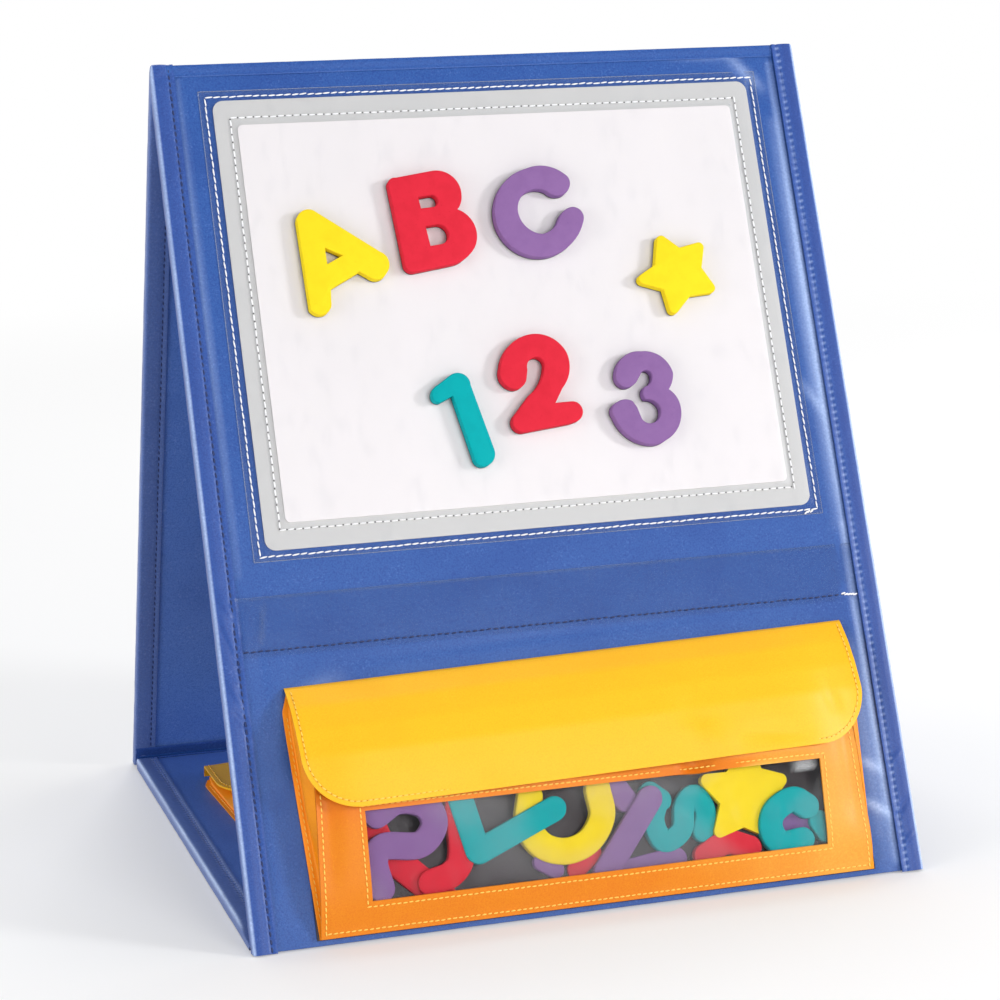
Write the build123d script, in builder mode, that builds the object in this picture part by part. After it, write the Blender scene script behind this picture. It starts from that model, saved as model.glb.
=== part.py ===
"""Tabletop pocket chart: a folding tent of three padded vinyl panels.

The frame is +Z up and +X to the viewer's right, with the viewer on the -Y side.
The origin lies on the table, midway between the front and rear bottom edges.
All sizes are in millimetres.
"""

import os
from math import asin, atan2, cos, degrees, hypot, radians, sin

from build123d import *

# Driving dimensions of the folded-up tent
PANEL_WIDTH = 318.0
PANEL_LENGTH = 406.0
BASE_DEPTH = 308.0
RIDGE_GAP = 0.2
END_WALL = 0.9

# The padded sandwich: cover and lining of vinyl over chipboard, bound at the edges
BINDING_WIDTH = 11.0
END_HEM = 3.0
VINYL = 0.9
SHEET = 0.7
BOARD = 2.6
PANEL_THICKNESS = 2 * VINYL + 2 * SHEET + BOARD

# Write-on board, as distances from the panel's left edge (u) and from the ridge (v)
BACKING_SPAN = (27.0, 290.5)
BACKING_DROP = (18.5, 229.5)
BACKING_RADIUS = 5.0
BACKING_THICKNESS = 0.8
WRITING_SPAN = (37.3, 280.1)
WRITING_DROP = (30.7, 217.5)
WRITING_RADIUS = 2.5
WRITING_THICKNESS = 0.9
STEEL_SIZE = (240.0, 184.0)
STEEL_THICKNESS = 0.5
COVER_SPAN = (21.0, 296.0)
COVER_DROP = (13.5, 234.3)
CLEAR_FILM = 0.25
STEP_ROOM = 0.3

# Clear card pockets: strips sewn along their lower edge
STRIP_DROP = (249.8, 276.2)
STRIP_FILM = 0.3
STRIP_GAP = 0.35
STRIP_SEAM = 4.0
REAR_ROW_TOPS = (62.0, 142.0, 222.0, 302.0)
REAR_ROW_HEIGHT = 42.0

# Pouches, measured down from the sewn line of the flap and out from the panel's skin
POUCH_LINE = 290.0
BASE_POUCH_LINE = 246.0
POUCH_CENTRE = 2.5
POUCH_BACK = (269.0, 116.0)
POUCH_HEIGHT = 113.0
POUCH_MOUTH = 16.0
POUCH_FOOT_WIDTH = 262.0
POUCH_MOUTH_WIDTH = 253.0
POUCH_VINYL = 0.9
POUCH_BACK_VINYL = 0.8
WINDOW_WIDTH = 216.0
WINDOW_DROP = (60.0, 99.0)
WINDOW_OVERLAP = 4.0
GUSSET_INSET = 2.2
DEEP_BULGE = ((113.0, 1.7), (102.0, 6.2), (95.5, 8.9), (60.0, 14.4), (POUCH_MOUTH, 16.6))
FLAT_BULGE = ((113.0, 1.7), (102.0, 4.4), (95.5, 5.6), (60.0, 7.7), (POUCH_MOUTH, 8.4))
FLAP_WIDTH = 268.0
FLAP_LENGTH = 56.0
FLAP_SHOULDER = 12.5
FLAP_ROOT = 2.2
FLAP_VINYL = 1.2
FLAP_RADIUS = 25.0
FLAP_TILT = 1.2
DEEP_FLAP_HEIGHT = 18.1
FLAT_FLAP_HEIGHT = 10.2
TAPE = 0.8
TAPE_SIZE = (46.0, 18.0)
TAPE_DROP = 37.0
TAPE_SPACING = 150.0

# Hook-and-loop closure that ties the front panel's foot to the base
BASE_BOARD_REACH = (46.0, 295.0)
MARGIN_TIP = 7.5
MARGIN_VINYL = 1.2
REAR_MARGIN_END = 300.4
REAR_MARGIN_VINYL = 1.8
CLOSURE_WIDTH = 294.0
TAB_ROOT = (9.6, 8.0)
TAB_TIP = (45.0, 4.3)
TAB_VINYL = 1.2
CLOSURE_TAPE_REACH = (14.0, 32.0)
HOOK_PILE = 1.2
LOOP_PILE = 1.4

# Foam letters with a magnet sheet behind them
MAGNET_LIFT = 0.3
MAGNET = 0.8
FOAM = 4.2
STAR_TIP_RADIUS = 2.5

# Foam pieces kept in the pouch, lying against its window
LOOSE_PIECE = 5.0
LOOSE_TOP = ((97.0, 6.5), (48.0, 13.4))
LOOSE_GAP = 0.4
LOOSE_STROKE = 12.0
LOOSE_THIN = 9.0
STAR_ROOM = 1.03

# Worked out from the sizes above
HALF_APEX = asin(0.5 * BASE_DEPTH / PANEL_LENGTH)
RIDGE_HEIGHT = PANEL_LENGTH * cos(HALF_APEX)
HALF_WIDTH = PANEL_WIDTH / 2
SKIN = -VINYL
WRITING_TOP = SKIN + BACKING_THICKNESS + WRITING_THICKNESS

front_plane = Plane(
    origin=(0, 0, RIDGE_HEIGHT), x_dir=(1, 0, 0), z_dir=(0, -cos(HALF_APEX), sin(HALF_APEX))
)
rear_plane = Plane(
    origin=(0, 0, RIDGE_HEIGHT), x_dir=(-1, 0, 0), z_dir=(0, cos(HALF_APEX), sin(HALF_APEX))
)
base_plane = Plane(origin=(0, -BASE_DEPTH / 2, 0), x_dir=(1, 0, 0), z_dir=(0, 0, 1))
closure_plane = Plane(origin=(0, -BASE_DEPTH / 2, 0), x_dir=(0, 1, 0), z_dir=(1, 0, 0))

os.makedirs("parts", exist_ok=True)


def save(piece: BuildPart, label: str) -> None:
    """Name a finished piece and write it."""
    piece.part.label = label
    export_step(piece.part, f"parts/{label}.step")


def side_view(plane: Plane) -> Plane:
    """The plane across a panel: its x runs up the panel and its y runs outward."""
    return Plane(origin=plane.origin, x_dir=plane.y_dir, z_dir=plane.x_dir)


def turned(plane: Plane, tilt: float) -> Plane:
    """A plane turned about its own normal, anticlockwise in degrees."""
    angle = radians(tilt)
    across = plane.x_dir * cos(angle) + plane.y_dir * sin(angle)
    return Plane(origin=plane.origin, x_dir=across, z_dir=plane.z_dir)


def face_between(first, second, radius=0.0) -> Sketch:
    """Rectangle between two corners, with rounded corners where a radius is given."""
    middle = ((first[0] + second[0]) / 2, (first[1] + second[1]) / 2)
    size = (abs(second[0] - first[0]), abs(second[1] - first[1]))
    with BuildSketch() as face:
        with Locations(middle):
            if radius:
                RectangleRounded(*size, radius)
            else:
                Rectangle(*size)
    return face.sketch


def board_area(span, drop, radius=0.0, grow=0.0) -> Sketch:
    """Area of the sloping panel between two distances across it and two down it."""
    first = (span[0] - HALF_WIDTH - grow, -drop[0] + grow)
    second = (span[1] - HALF_WIDTH + grow, -drop[1] - grow)
    return face_between(first, second, radius + grow if radius else 0.0)


def slab(plane: Plane, area: Sketch, low: float, high: float) -> Part:
    """Plate of one area between two heights above a plane."""
    with BuildPart() as plate:
        with BuildSketch(plane.offset(low)):
            add(area)
        extrude(amount=high - low)
    return plate.part


def rail(plane: Plane, points, width: float, centre: float = 0.0) -> Part:
    """Straight bar along a plane's normal, with a polygon for its section."""
    with BuildPart() as bar:
        with BuildSketch(plane.offset(centre)):
            with BuildLine():
                Polyline(*points, close=True)
            make_face()
        extrude(amount=width / 2, both=True)
    return bar.part


def trimmed(solid: Part, cuts) -> Part:
    """Keep what lies on the outer side of every cutting plane."""
    with BuildPart() as kept:
        add(solid)
        for cut in cuts:
            split(bisect_by=cut, keep=Keep.TOP)
    return kept.part


# Panels

def panel_cuts(direction: float, wall: float):
    """Planes that stop a sloping panel at the ridge and at the table."""
    if direction == 0:
        return []
    ridge = Plane(origin=(0, direction * (RIDGE_GAP + wall), 0), z_dir=(0, direction, 0))
    table = Plane(origin=(0, 0, wall), z_dir=(0, 0, 1))
    return [ridge, table]


def make_sheet(plane: Plane, reach, low: float, high: float, direction: float, label: str) -> None:
    """One flat layer of a panel's sandwich, inside the bindings."""
    first = (-HALF_WIDTH + END_WALL, reach[0])
    second = (HALF_WIDTH - END_WALL, reach[1])
    layer = slab(plane, face_between(first, second), low, high)
    with BuildPart() as sheet:
        add(trimmed(layer, panel_cuts(direction, END_WALL)))
    save(sheet, label)


def make_sandwich(plane: Plane, reach, top: float, direction: float, name: str, skins) -> None:
    """Outer skin, board and inner skin of a panel whose bindings' outer face is at top."""
    levels = [top - VINYL, top - VINYL - SHEET, top - VINYL - SHEET - BOARD]
    inside = (reach[0] + END_WALL, reach[1] - END_WALL) if direction == 0 else reach
    make_sheet(plane, inside, levels[1], levels[0], direction, f"{name}_{skins[0]}")
    make_sheet(plane, inside, levels[2], levels[1], direction, f"{name}_board")
    make_sheet(plane, inside, levels[2] - SHEET, levels[2], direction, f"{name}_{skins[1]}")


def edge_channel(plane: Plane, reach, top: float, direction: float, hem: float) -> Part:
    """Vinyl channel folded round a panel's four edges, as wide as hem at its two ends."""
    low = top - PANEL_THICKNESS
    outer = face_between((-HALF_WIDTH, reach[0]), (HALF_WIDTH, reach[1]))
    inner_x = HALF_WIDTH - BINDING_WIDTH
    inner = face_between(
        (-inner_x, reach[0] + hem), (inner_x, reach[1] - hem)
    )
    core_x = HALF_WIDTH - END_WALL
    inset = END_WALL if direction == 0 else 0.0
    core_area = face_between((-core_x, reach[0] + inset), (core_x, reach[1] - inset))
    core = trimmed(
        slab(plane, core_area, low + VINYL, top - VINYL), panel_cuts(direction, END_WALL)
    )
    with BuildPart() as channel:
        add(slab(plane, outer, low, top))
        add(slab(plane, inner, low, top), mode=Mode.SUBTRACT)
        add(core, mode=Mode.SUBTRACT)
    return trimmed(channel.part, panel_cuts(direction, 0.0))


slope_reach = (-PANEL_LENGTH - PANEL_THICKNESS, 0.0)

make_sandwich(front_plane, slope_reach, 0.0, -1, "front", ("cover", "lining"))
with BuildPart() as front_bindings:
    add(edge_channel(front_plane, (-PANEL_LENGTH, 0.0), 0.0, -1, END_HEM))
save(front_bindings, "front_bindings")

make_sandwich(rear_plane, slope_reach, 0.0, 1, "rear", ("cover", "lining"))
rear_channel = edge_channel(rear_plane, (-PANEL_LENGTH, 0.0), 0.0, 1, BINDING_WIDTH)
rear_zones = {
    "ridge_strip": (-BINDING_WIDTH, PANEL_THICKNESS),
    "rear_bindings": (BINDING_WIDTH - PANEL_LENGTH, -BINDING_WIDTH),
    "rear_hinge_strip": (-PANEL_LENGTH - PANEL_THICKNESS, BINDING_WIDTH - PANEL_LENGTH),
}
for zone_name, (zone_low, zone_high) in rear_zones.items():
    zone_area = face_between((-PANEL_WIDTH, zone_low), (PANEL_WIDTH, zone_high))
    with BuildPart() as rear_zone:
        add(rear_channel)
        add(slab(rear_plane, zone_area, -2 * PANEL_THICKNESS, 1.0), mode=Mode.INTERSECT)
    save(rear_zone, zone_name)

make_sandwich(base_plane, BASE_BOARD_REACH, PANEL_THICKNESS, 0, "base", ("lining", "cover"))
with BuildPart() as base_bindings:
    add(edge_channel(base_plane, BASE_BOARD_REACH, PANEL_THICKNESS, 0, END_HEM))
save(base_bindings, "base_bindings")


# Soft margins of the base and the closure at the front foot

def closure_bar(points, width: float, label: str) -> None:
    """Piece that runs the width of the base, drawn in section from the front edge."""
    with BuildPart() as bar:
        add(rail(closure_plane, points, width))
    save(bar, label)


def box_section(reach, low: float, high: float):
    """Corners of an upright rectangle in the closure's section."""
    return ((reach[0], low), (reach[1], low), (reach[1], high), (reach[0], high))


def tab_height(distance: float) -> float:
    """Height of the tab's upper face at a distance from the front bottom edge."""
    slope = (TAB_TIP[1] - TAB_ROOT[1]) / (TAB_TIP[0] - TAB_ROOT[0])
    return TAB_ROOT[1] + slope * (distance - TAB_ROOT[0])


closure_bar(
    box_section((MARGIN_TIP, BASE_BOARD_REACH[0]), 0.0, MARGIN_VINYL),
    PANEL_WIDTH,
    "base_front_margin",
)
closure_bar(
    box_section((BASE_BOARD_REACH[1], REAR_MARGIN_END), 0.0, REAR_MARGIN_VINYL),
    PANEL_WIDTH,
    "base_rear_margin",
)
closure_bar(
    box_section(CLOSURE_TAPE_REACH, MARGIN_VINYL, MARGIN_VINYL + LOOP_PILE),
    CLOSURE_WIDTH,
    "closure_loop_tape",
)
tab_section = (
    TAB_ROOT,
    TAB_TIP,
    (TAB_TIP[0], TAB_TIP[1] - TAB_VINYL),
    (TAB_ROOT[0], TAB_ROOT[1] - TAB_VINYL),
)
closure_bar(tab_section, CLOSURE_WIDTH, "closure_tab")
hook_section = [(place, tab_height(place) - TAB_VINYL) for place in CLOSURE_TAPE_REACH]
hook_section += [(place, height - HOOK_PILE) for place, height in reversed(hook_section)]
closure_bar(hook_section, CLOSURE_WIDTH, "closure_hook_tape")


# Write-on board

steel_middle = (sum(WRITING_SPAN) / 2, sum(WRITING_DROP) / 2)
steel_area = board_area(
    (steel_middle[0] - STEEL_SIZE[0] / 2, steel_middle[0] + STEEL_SIZE[0] / 2),
    (steel_middle[1] - STEEL_SIZE[1] / 2, steel_middle[1] + STEEL_SIZE[1] / 2),
)
backing_area = board_area(BACKING_SPAN, BACKING_DROP, BACKING_RADIUS)
writing_area = board_area(WRITING_SPAN, WRITING_DROP, WRITING_RADIUS)
backing_top = SKIN + BACKING_THICKNESS

with BuildPart() as steel_sheet:
    add(slab(front_plane, steel_area, SKIN, SKIN + STEEL_THICKNESS))
save(steel_sheet, "steel_sheet")

with BuildPart() as board_backing:
    add(slab(front_plane, backing_area, SKIN, backing_top))
    add(steel_sheet.part, mode=Mode.SUBTRACT)
save(board_backing, "board_backing")

with BuildPart() as write_on_board:
    add(slab(front_plane, writing_area, backing_top, WRITING_TOP))
save(write_on_board, "write_on_board")

backing_step = board_area(BACKING_SPAN, BACKING_DROP, BACKING_RADIUS, STEP_ROOM)
writing_step = board_area(WRITING_SPAN, WRITING_DROP, WRITING_RADIUS, STEP_ROOM)
with BuildPart() as board_cover_sheet:
    add(slab(front_plane, board_area(COVER_SPAN, COVER_DROP, 3.0), SKIN, SKIN + CLEAR_FILM))
    add(slab(front_plane, backing_step, SKIN, backing_top + CLEAR_FILM))
    add(slab(front_plane, writing_step, SKIN, WRITING_TOP + CLEAR_FILM))
    add(slab(front_plane, backing_area, SKIN, backing_top), mode=Mode.SUBTRACT)
    add(slab(front_plane, writing_area, SKIN, WRITING_TOP), mode=Mode.SUBTRACT)
save(board_cover_sheet, "board_cover_sheet")


# Clear card pockets

def strip_section(drop):
    """Section of a clear strip: free at its top, seated on the skin at its seam."""
    return (
        (-drop[0], SKIN + STRIP_GAP),
        (-drop[0], SKIN + STRIP_GAP + STRIP_FILM),
        (-drop[1], SKIN + STRIP_GAP + STRIP_FILM),
        (-drop[1], SKIN),
        (STRIP_SEAM - drop[1], SKIN),
        (STRIP_SEAM - drop[1], SKIN + STRIP_GAP),
    )


strip_width = PANEL_WIDTH - 2 * BINDING_WIDTH
with BuildPart() as clear_card_pocket:
    add(rail(side_view(front_plane), strip_section(STRIP_DROP), strip_width))
save(clear_card_pocket, "clear_card_pocket")

with BuildPart() as rear_card_pockets:
    for row_top in REAR_ROW_TOPS:
        row = strip_section((row_top, row_top + REAR_ROW_HEIGHT))
        add(rail(side_view(rear_plane), row, strip_width))
save(rear_card_pockets, "rear_card_pockets")


# Pouches

def bulge_section(bulge, skip: float, depth: float):
    """Band of one depth that follows a pouch front, starting skip below its face."""
    outer = [(-drop, height - skip) for drop, height in bulge]
    inner = [(place, height - depth) for place, height in reversed(outer)]
    return outer + inner


def front_outline() -> Sketch:
    """Outline of a pouch front, a little wider at its foot than at its mouth."""
    foot = POUCH_FOOT_WIDTH / 2
    mouth = POUCH_MOUTH_WIDTH / 2
    with BuildSketch() as outline:
        with BuildLine():
            Polyline(
                (-foot, -POUCH_HEIGHT),
                (foot, -POUCH_HEIGHT),
                (mouth, -POUCH_MOUTH),
                (-mouth, -POUCH_MOUTH),
                close=True,
            )
        make_face()
    return outline.sketch


def window_outline(grow: float) -> Sketch:
    """Outline of a pouch's window, grown on all sides for its clear film."""
    half = WINDOW_WIDTH / 2 + grow
    return face_between((-half, grow - WINDOW_DROP[0]), (half, -grow - WINDOW_DROP[1]))


def gusset_wall(plane: Plane, bulge, side: float) -> Part:
    """Folded side wall of a pouch, from its back to the inside of its front."""
    face = POUCH_MOUTH_WIDTH / 2 - GUSSET_INSET
    floor = [(-bulge[-1][0], POUCH_BACK_VINYL), (-bulge[0][0], POUCH_BACK_VINYL)]
    roof = [(-drop, height - POUCH_VINYL) for drop, height in bulge]
    return rail(side_view(plane), floor + roof[1:], POUCH_VINYL, side * face)


def make_pouch(plane: Plane, bulge, prefix: str) -> None:
    """Back, windowed front, film, side walls and catch tape of one pouch."""
    across = side_view(plane)
    reach = 2 * bulge[-1][1]
    with BuildPart() as pouch_back:
        area = face_between(
            (-POUCH_BACK[0] / 2, POUCH_BACK[1] - POUCH_HEIGHT), (POUCH_BACK[0] / 2, -POUCH_HEIGHT)
        )
        add(slab(plane, area, 0.0, POUCH_BACK_VINYL))
    save(pouch_back, f"{prefix}_back")

    with BuildPart() as front_frame:
        add(rail(across, bulge_section(bulge, 0.0, POUCH_VINYL), POUCH_FOOT_WIDTH))
        add(slab(plane, front_outline(), 0.0, reach), mode=Mode.INTERSECT)
        add(slab(plane, window_outline(0.0), 0.0, reach), mode=Mode.SUBTRACT)
    save(front_frame, f"{prefix}_front_frame")

    with BuildPart() as window:
        add(rail(across, bulge_section(bulge, POUCH_VINYL, STRIP_FILM), POUCH_MOUTH_WIDTH))
        add(slab(plane, window_outline(WINDOW_OVERLAP), 0.0, reach), mode=Mode.INTERSECT)
    save(window, f"{prefix}_window")

    for side, side_name in ((-1, "left"), (1, "right")):
        with BuildPart() as gusset:
            add(gusset_wall(plane, bulge, side))
        save(gusset, f"{prefix}_gusset_{side_name}")

    with BuildPart() as catch_tape:
        band = bulge_section(bulge, -TAPE, TAPE)
        add(rail(across, band, POUCH_MOUTH_WIDTH))
        add(slab(plane, tape_outline(), 0.0, reach), mode=Mode.INTERSECT)
    save(catch_tape, f"{prefix}_catch_tape")


def tape_outline() -> Sketch:
    """Two patches of hook-and-loop tape, side by side."""
    with BuildSketch() as patches:
        with Locations((0, -TAPE_DROP)):
            with GridLocations(TAPE_SPACING, 0, 2, 1):
                Rectangle(*TAPE_SIZE)
    return patches.sketch


def make_flap(plane: Plane, height: float, prefix: str) -> None:
    """Flap bent over a pouch's mouth, with its tape, from the sewn line down."""
    across = side_view(plane)
    inner = [(0, FLAP_ROOT), (-FLAP_SHOULDER, height), (-FLAP_LENGTH, height)]
    outer = [(place, level + FLAP_VINYL) for place, level in reversed(inner)]
    half = FLAP_WIDTH / 2
    with BuildSketch() as outline:
        add(face_between((-half, FLAP_RADIUS), (half, -FLAP_LENGTH), FLAP_RADIUS - 1))
    with BuildPart() as flap:
        add(rail(across, inner + outer, FLAP_WIDTH))
        add(slab(plane, outline.sketch, 0.0, 2 * height), mode=Mode.INTERSECT)
    save(flap, f"{prefix}_flap")

    with BuildPart() as flap_tape:
        add(slab(plane, tape_outline(), height - TAPE, height))
    save(flap_tape, f"{prefix}_flap_tape")


pouch_plane = Plane(
    origin=front_plane.from_local_coords((POUCH_CENTRE, -POUCH_LINE, SKIN)),
    x_dir=front_plane.x_dir,
    z_dir=front_plane.z_dir,
)
flap_plane = turned(pouch_plane, FLAP_TILT)
base_pouch_plane = Plane(
    origin=base_plane.from_local_coords((POUCH_CENTRE, BASE_POUCH_LINE, PANEL_THICKNESS - VINYL)),
    x_dir=base_plane.x_dir,
    z_dir=base_plane.z_dir,
)

make_pouch(pouch_plane, DEEP_BULGE, "pouch")
make_flap(flap_plane, DEEP_FLAP_HEIGHT, "pouch")
make_pouch(base_pouch_plane, FLAT_BULGE, "base_pouch")
make_flap(base_pouch_plane, FLAT_FLAP_HEIGHT, "base_pouch")


# Foam letters on the board, drawn about their own middles

def closed_outline(start, segments) -> Sketch:
    """Face inside a chain of lines (an end) and arcs (a middle point and an end)."""
    with BuildSketch() as outline:
        with BuildLine():
            here = start
            for *middle, end in segments:
                if middle:
                    ThreePointArc(here, middle[0], end)
                else:
                    Line(here, end)
                here = end
            if here != start:
                Line(here, start)
        make_face()
    return outline.sketch


def star_outline() -> Sketch:
    """Five-pointed star with rounded tips."""
    tips = [(-5.6, 21.4), (17.7, 15.8), (21.0, -9.8), (-4.5, -21.8), (-21.9, -2.0)]
    notches = [(4.4, 12.9), (14.1, 2.4), (6.4, -10.9), (-6.8, -7.1), (-9.2, 5.2)]
    corners = [corner for pair in zip(tips, notches) for corner in pair]
    with BuildSketch() as star:
        with BuildLine():
            Polyline(*corners, close=True)
        make_face()
        points = [
            vertex
            for vertex in star.vertices()
            if hypot(vertex.X, vertex.Y) > (hypot(*tips[0]) + hypot(*notches[0])) / 2
        ]
        fillet(points, STAR_TIP_RADIUS)
    return star.sketch


def with_holes(outline: Sketch, holes) -> Sketch:
    """An outline with closed holes cut through it."""
    with BuildSketch() as pierced:
        add(outline)
        for start, segments in holes:
            add(closed_outline(start, segments), mode=Mode.SUBTRACT)
    return pierced.sketch


LETTER_A = (
    (-9.6, 26.9),
    (
        ((-5.4, 29.6), (0.0, 27.4)),
        ((16.0, -4.8),),
        ((17.2, -10.3), (12.9, -14.8)),
        ((8.2, -15.5), (4.5, -11.8)),
        ((2.2, -7.8),),
        ((-13.8, -7.7),),
        ((-17.1, -12.8),),
        ((-23.0, -16.2), (-27.6, -10.8)),
    ),
)
LETTER_A_HOLES = (((-5.3, 9.7), (((-0.3, 2.6),), ((-8.7, 2.8),))),)

LETTER_B = (
    (-18.3, 19.7),
    (
        ((-17.2, 22.3), (-13.9, 23.1)),
        ((4.2, 24.3),),
        ((13.9, 19.5), (15.8, 11.2)),
        ((14.8, 7.6), (12.4, 4.4)),
        ((19.3, -7.0), (11.7, -18.8)),
        ((8.5, -20.5), (4.6, -21.3)),
        ((-13.4, -22.6),),
        ((-17.2, -21.3), (-18.3, -17.9)),
    ),
)
LETTER_B_HOLES = (
    ((-5.2, 12.5), (((1.3, 12.7),), ((3.7, 9.8), (0.6, 7.0)), ((-4.9, 7.0),))),
    ((-4.5, -1.7), (((1.4, -1.6),), ((5.6, -6.4), (1.1, -11.1)), ((-4.1, -11.3),))),
)

LETTER_C = (
    (18.9, 11.1),
    (
        ((12.8, 6.2), (6.7, 9.0)),
        ((-2.4, 10.7), (-9.4, 3.4)),
        ((-8.0, -5.4), (-0.6, -10.7)),
        ((4.8, -9.1), (9.0, -4.8)),
        ((12.5, -1.4), (16.8, -0.1)),
        ((20.8, -2.4), (21.4, -6.8)),
        ((14.6, -15.9), (4.9, -21.0)),
        ((-12.5, -18.4), (-21.7, -3.0)),
        ((-16.3, 13.5), (-0.9, 21.6)),
        ((9.6, 21.3), (17.4, 16.1)),
        ((18.9, 13.8), (18.9, 11.1)),
    ),
)

NUMBER_1 = (
    (-10.0, 15.2),
    (
        ((-8.4, 17.9), (-5.7, 19.2)),
        ((1.8, 21.8),),
        ((7.4, 20.9), (9.4, 14.5)),
        ((9.4, -16.4),),
        ((7.3, -21.7), (2.2, -23.1)),
        ((-0.5, -21.4), (-1.3, -18.2)),
        ((-0.6, 12.3),),
        ((-7.2, 11.1),),
        ((-9.5, 12.4), (-10.0, 15.2)),
    ),
)

NUMBER_2 = (
    (-13.3, -1.3),
    (
        ((-17.9, 3.1), (-17.5, 9.7)),
        ((-11.8, 18.8), (-3.4, 23.0)),
        ((8.3, 21.6), (15.9, 12.5)),
        ((15.4, 3.6), (10.6, -3.6)),
        ((5.8, -10.2),),
        ((13.3, -10.4),),
        ((18.2, -15.0), (14.4, -20.0)),
        ((11.3, -20.6),),
        ((-10.9, -21.9),),
        ((-16.2, -19.2), (-15.4, -13.9)),
        ((-5.9, -4.8),),
        ((1.2, 1.9), (3.6, 7.6)),
        ((2.6, 11.5), (-0.6, 12.3)),
        ((-3.7, 10.4), (-4.6, 7.0)),
        ((-6.0, 2.4),),
        ((-8.9, -0.8), (-13.3, -1.3)),
    ),
)

NUMBER_3 = (
    (-8.6, 6.5),
    (
        ((-11.7, 9.4), (-11.9, 13.6)),
        ((-6.7, 20.9), (2.8, 22.7)),
        ((12.4, 18.8), (16.5, 10.5)),
        ((15.3, 6.6), (12.8, 3.0)),
        ((16.0, -1.4), (16.9, -6.3)),
        ((14.2, -14.9), (7.0, -20.6)),
        ((1.9, -22.2), (-3.2, -21.5)),
        ((-12.5, -15.4), (-16.6, -6.9)),
        ((-16.5, -1.8), (-13.7, 0.1)),
        ((-9.7, 0.9), (-6.1, -0.4)),
        ((-4.5, -3.6),),
        ((-3.5, -8.1),),
        ((-1.8, -11.1), (1.1, -11.9)),
        ((5.2, -9.9), (6.4, -4.6)),
        ((4.0, -1.6), (0.4, -0.5)),
        ((-0.6, 2.6), (1.2, 5.7)),
        ((4.9, 8.0), (5.6, 11.4)),
        ((3.6, 13.3), (0.6, 12.1)),
        ((-1.9, 9.0),),
        ((-4.4, 7.0), (-8.6, 6.5)),
    ),
)

# Name, outline, distance from the left edge, distance from the ridge, tilt in degrees
board_letters = (
    ("letter_a", with_holes(closed_outline(*LETTER_A), LETTER_A_HOLES), 79.0, 99.0, 27.1),
    ("letter_b", with_holes(closed_outline(*LETTER_B), LETTER_B_HOLES), 123.0, 83.0, 4.2),
    ("letter_c", closed_outline(*LETTER_C), 174.0, 81.0, 6.0),
    ("star", star_outline(), 237.0, 115.0, 0.0),
    ("number_1", closed_outline(*NUMBER_1), 124.0, 178.0, 12.9),
    ("number_2", closed_outline(*NUMBER_2), 163.0, 163.0, 3.0),
    ("number_3", closed_outline(*NUMBER_3), 213.0, 174.0, 3.0),
)

magnet_low = WRITING_TOP + CLEAR_FILM + MAGNET_LIFT
for letter, letter_outline, across_board, down_board, tilt in board_letters:
    letter_plane = Plane(
        origin=front_plane.from_local_coords((across_board - HALF_WIDTH, -down_board, 0)),
        x_dir=front_plane.x_dir,
        z_dir=front_plane.z_dir,
    )
    letter_plane = turned(letter_plane, tilt)
    with BuildPart() as foam:
        add(slab(letter_plane, letter_outline, magnet_low + MAGNET, magnet_low + MAGNET + FOAM))
    save(foam, f"{letter}_foam")
    with BuildPart() as magnet:
        add(slab(letter_plane, letter_outline, magnet_low, magnet_low + MAGNET))
    save(magnet, f"{letter}_magnet")


# Foam pieces lying in the pouch

def strokes(chains, width=LOOSE_STROKE) -> Sketch:
    """Round-ended strokes: a chain of three points is an arc, one of two is a line."""
    with BuildSketch() as drawn:
        for chain in chains:
            points = [
                Vector(across - HALF_WIDTH - POUCH_CENTRE, POUCH_LINE - down)
                for across, down in chain
            ]
            if len(points) == 3:
                SlotArc(Edge.make_three_point_arc(*points), width)
            else:
                run = points[1] - points[0]
                with Locations((points[0] + points[1]) / 2):
                    SlotCenterToCenter(run.length, width, degrees(atan2(run.Y, run.X)))
    return drawn.sketch


def chain_of(*points):
    """Straight strokes from each point to the next."""
    return tuple(zip(points, points[1:]))


def around(chains) -> Sketch:
    """The room that rounded strokes need, with a gap on all sides."""
    return strokes(chains, LOOSE_STROKE + 2 * LOOSE_GAP)


def loose_star(grow: float) -> Sketch:
    """The star in the pouch, grown by a factor."""
    with BuildSketch() as star:
        with Locations((234 - HALF_WIDTH - POUCH_CENTRE, POUCH_LINE - 361)):
            add(scale(star_outline().rotate(Axis.Z, 24), grow, mode=Mode.PRIVATE))
    return star.sketch


def without(shape: Sketch, covers) -> Sketch:
    """What shows of a shape between the pieces that lie over it."""
    with BuildSketch() as shown:
        add(shape)
        for cover in covers:
            add(cover, mode=Mode.SUBTRACT)
    return shown.sketch


def make_loose(shapes, label: str) -> None:
    """Loose foam pieces of one colour, leaning against the pouch's window."""
    room = face_between((-HALF_WIDTH, -LOOSE_TOP[1][0]), (HALF_WIDTH, -LOOSE_TOP[0][0]))
    with BuildPart() as pieces:
        for shape in shapes:
            add(slab(loose_plane, shape, -LOOSE_PIECE, 0.0))
        add(slab(loose_plane, room, -LOOSE_PIECE, 0.0), mode=Mode.INTERSECT)
    save(pieces, label)


loose_lean = (LOOSE_TOP[1][1] - LOOSE_TOP[0][1]) / (LOOSE_TOP[0][0] - LOOSE_TOP[1][0])
loose_height = LOOSE_TOP[0][1] + LOOSE_TOP[0][0] * loose_lean
loose_run = pouch_plane.y_dir + pouch_plane.z_dir * loose_lean
loose_plane = Plane(
    origin=pouch_plane.from_local_coords((0, 0, loose_height)),
    x_dir=pouch_plane.x_dir,
    z_dir=pouch_plane.x_dir.cross(loose_run),
)

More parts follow.
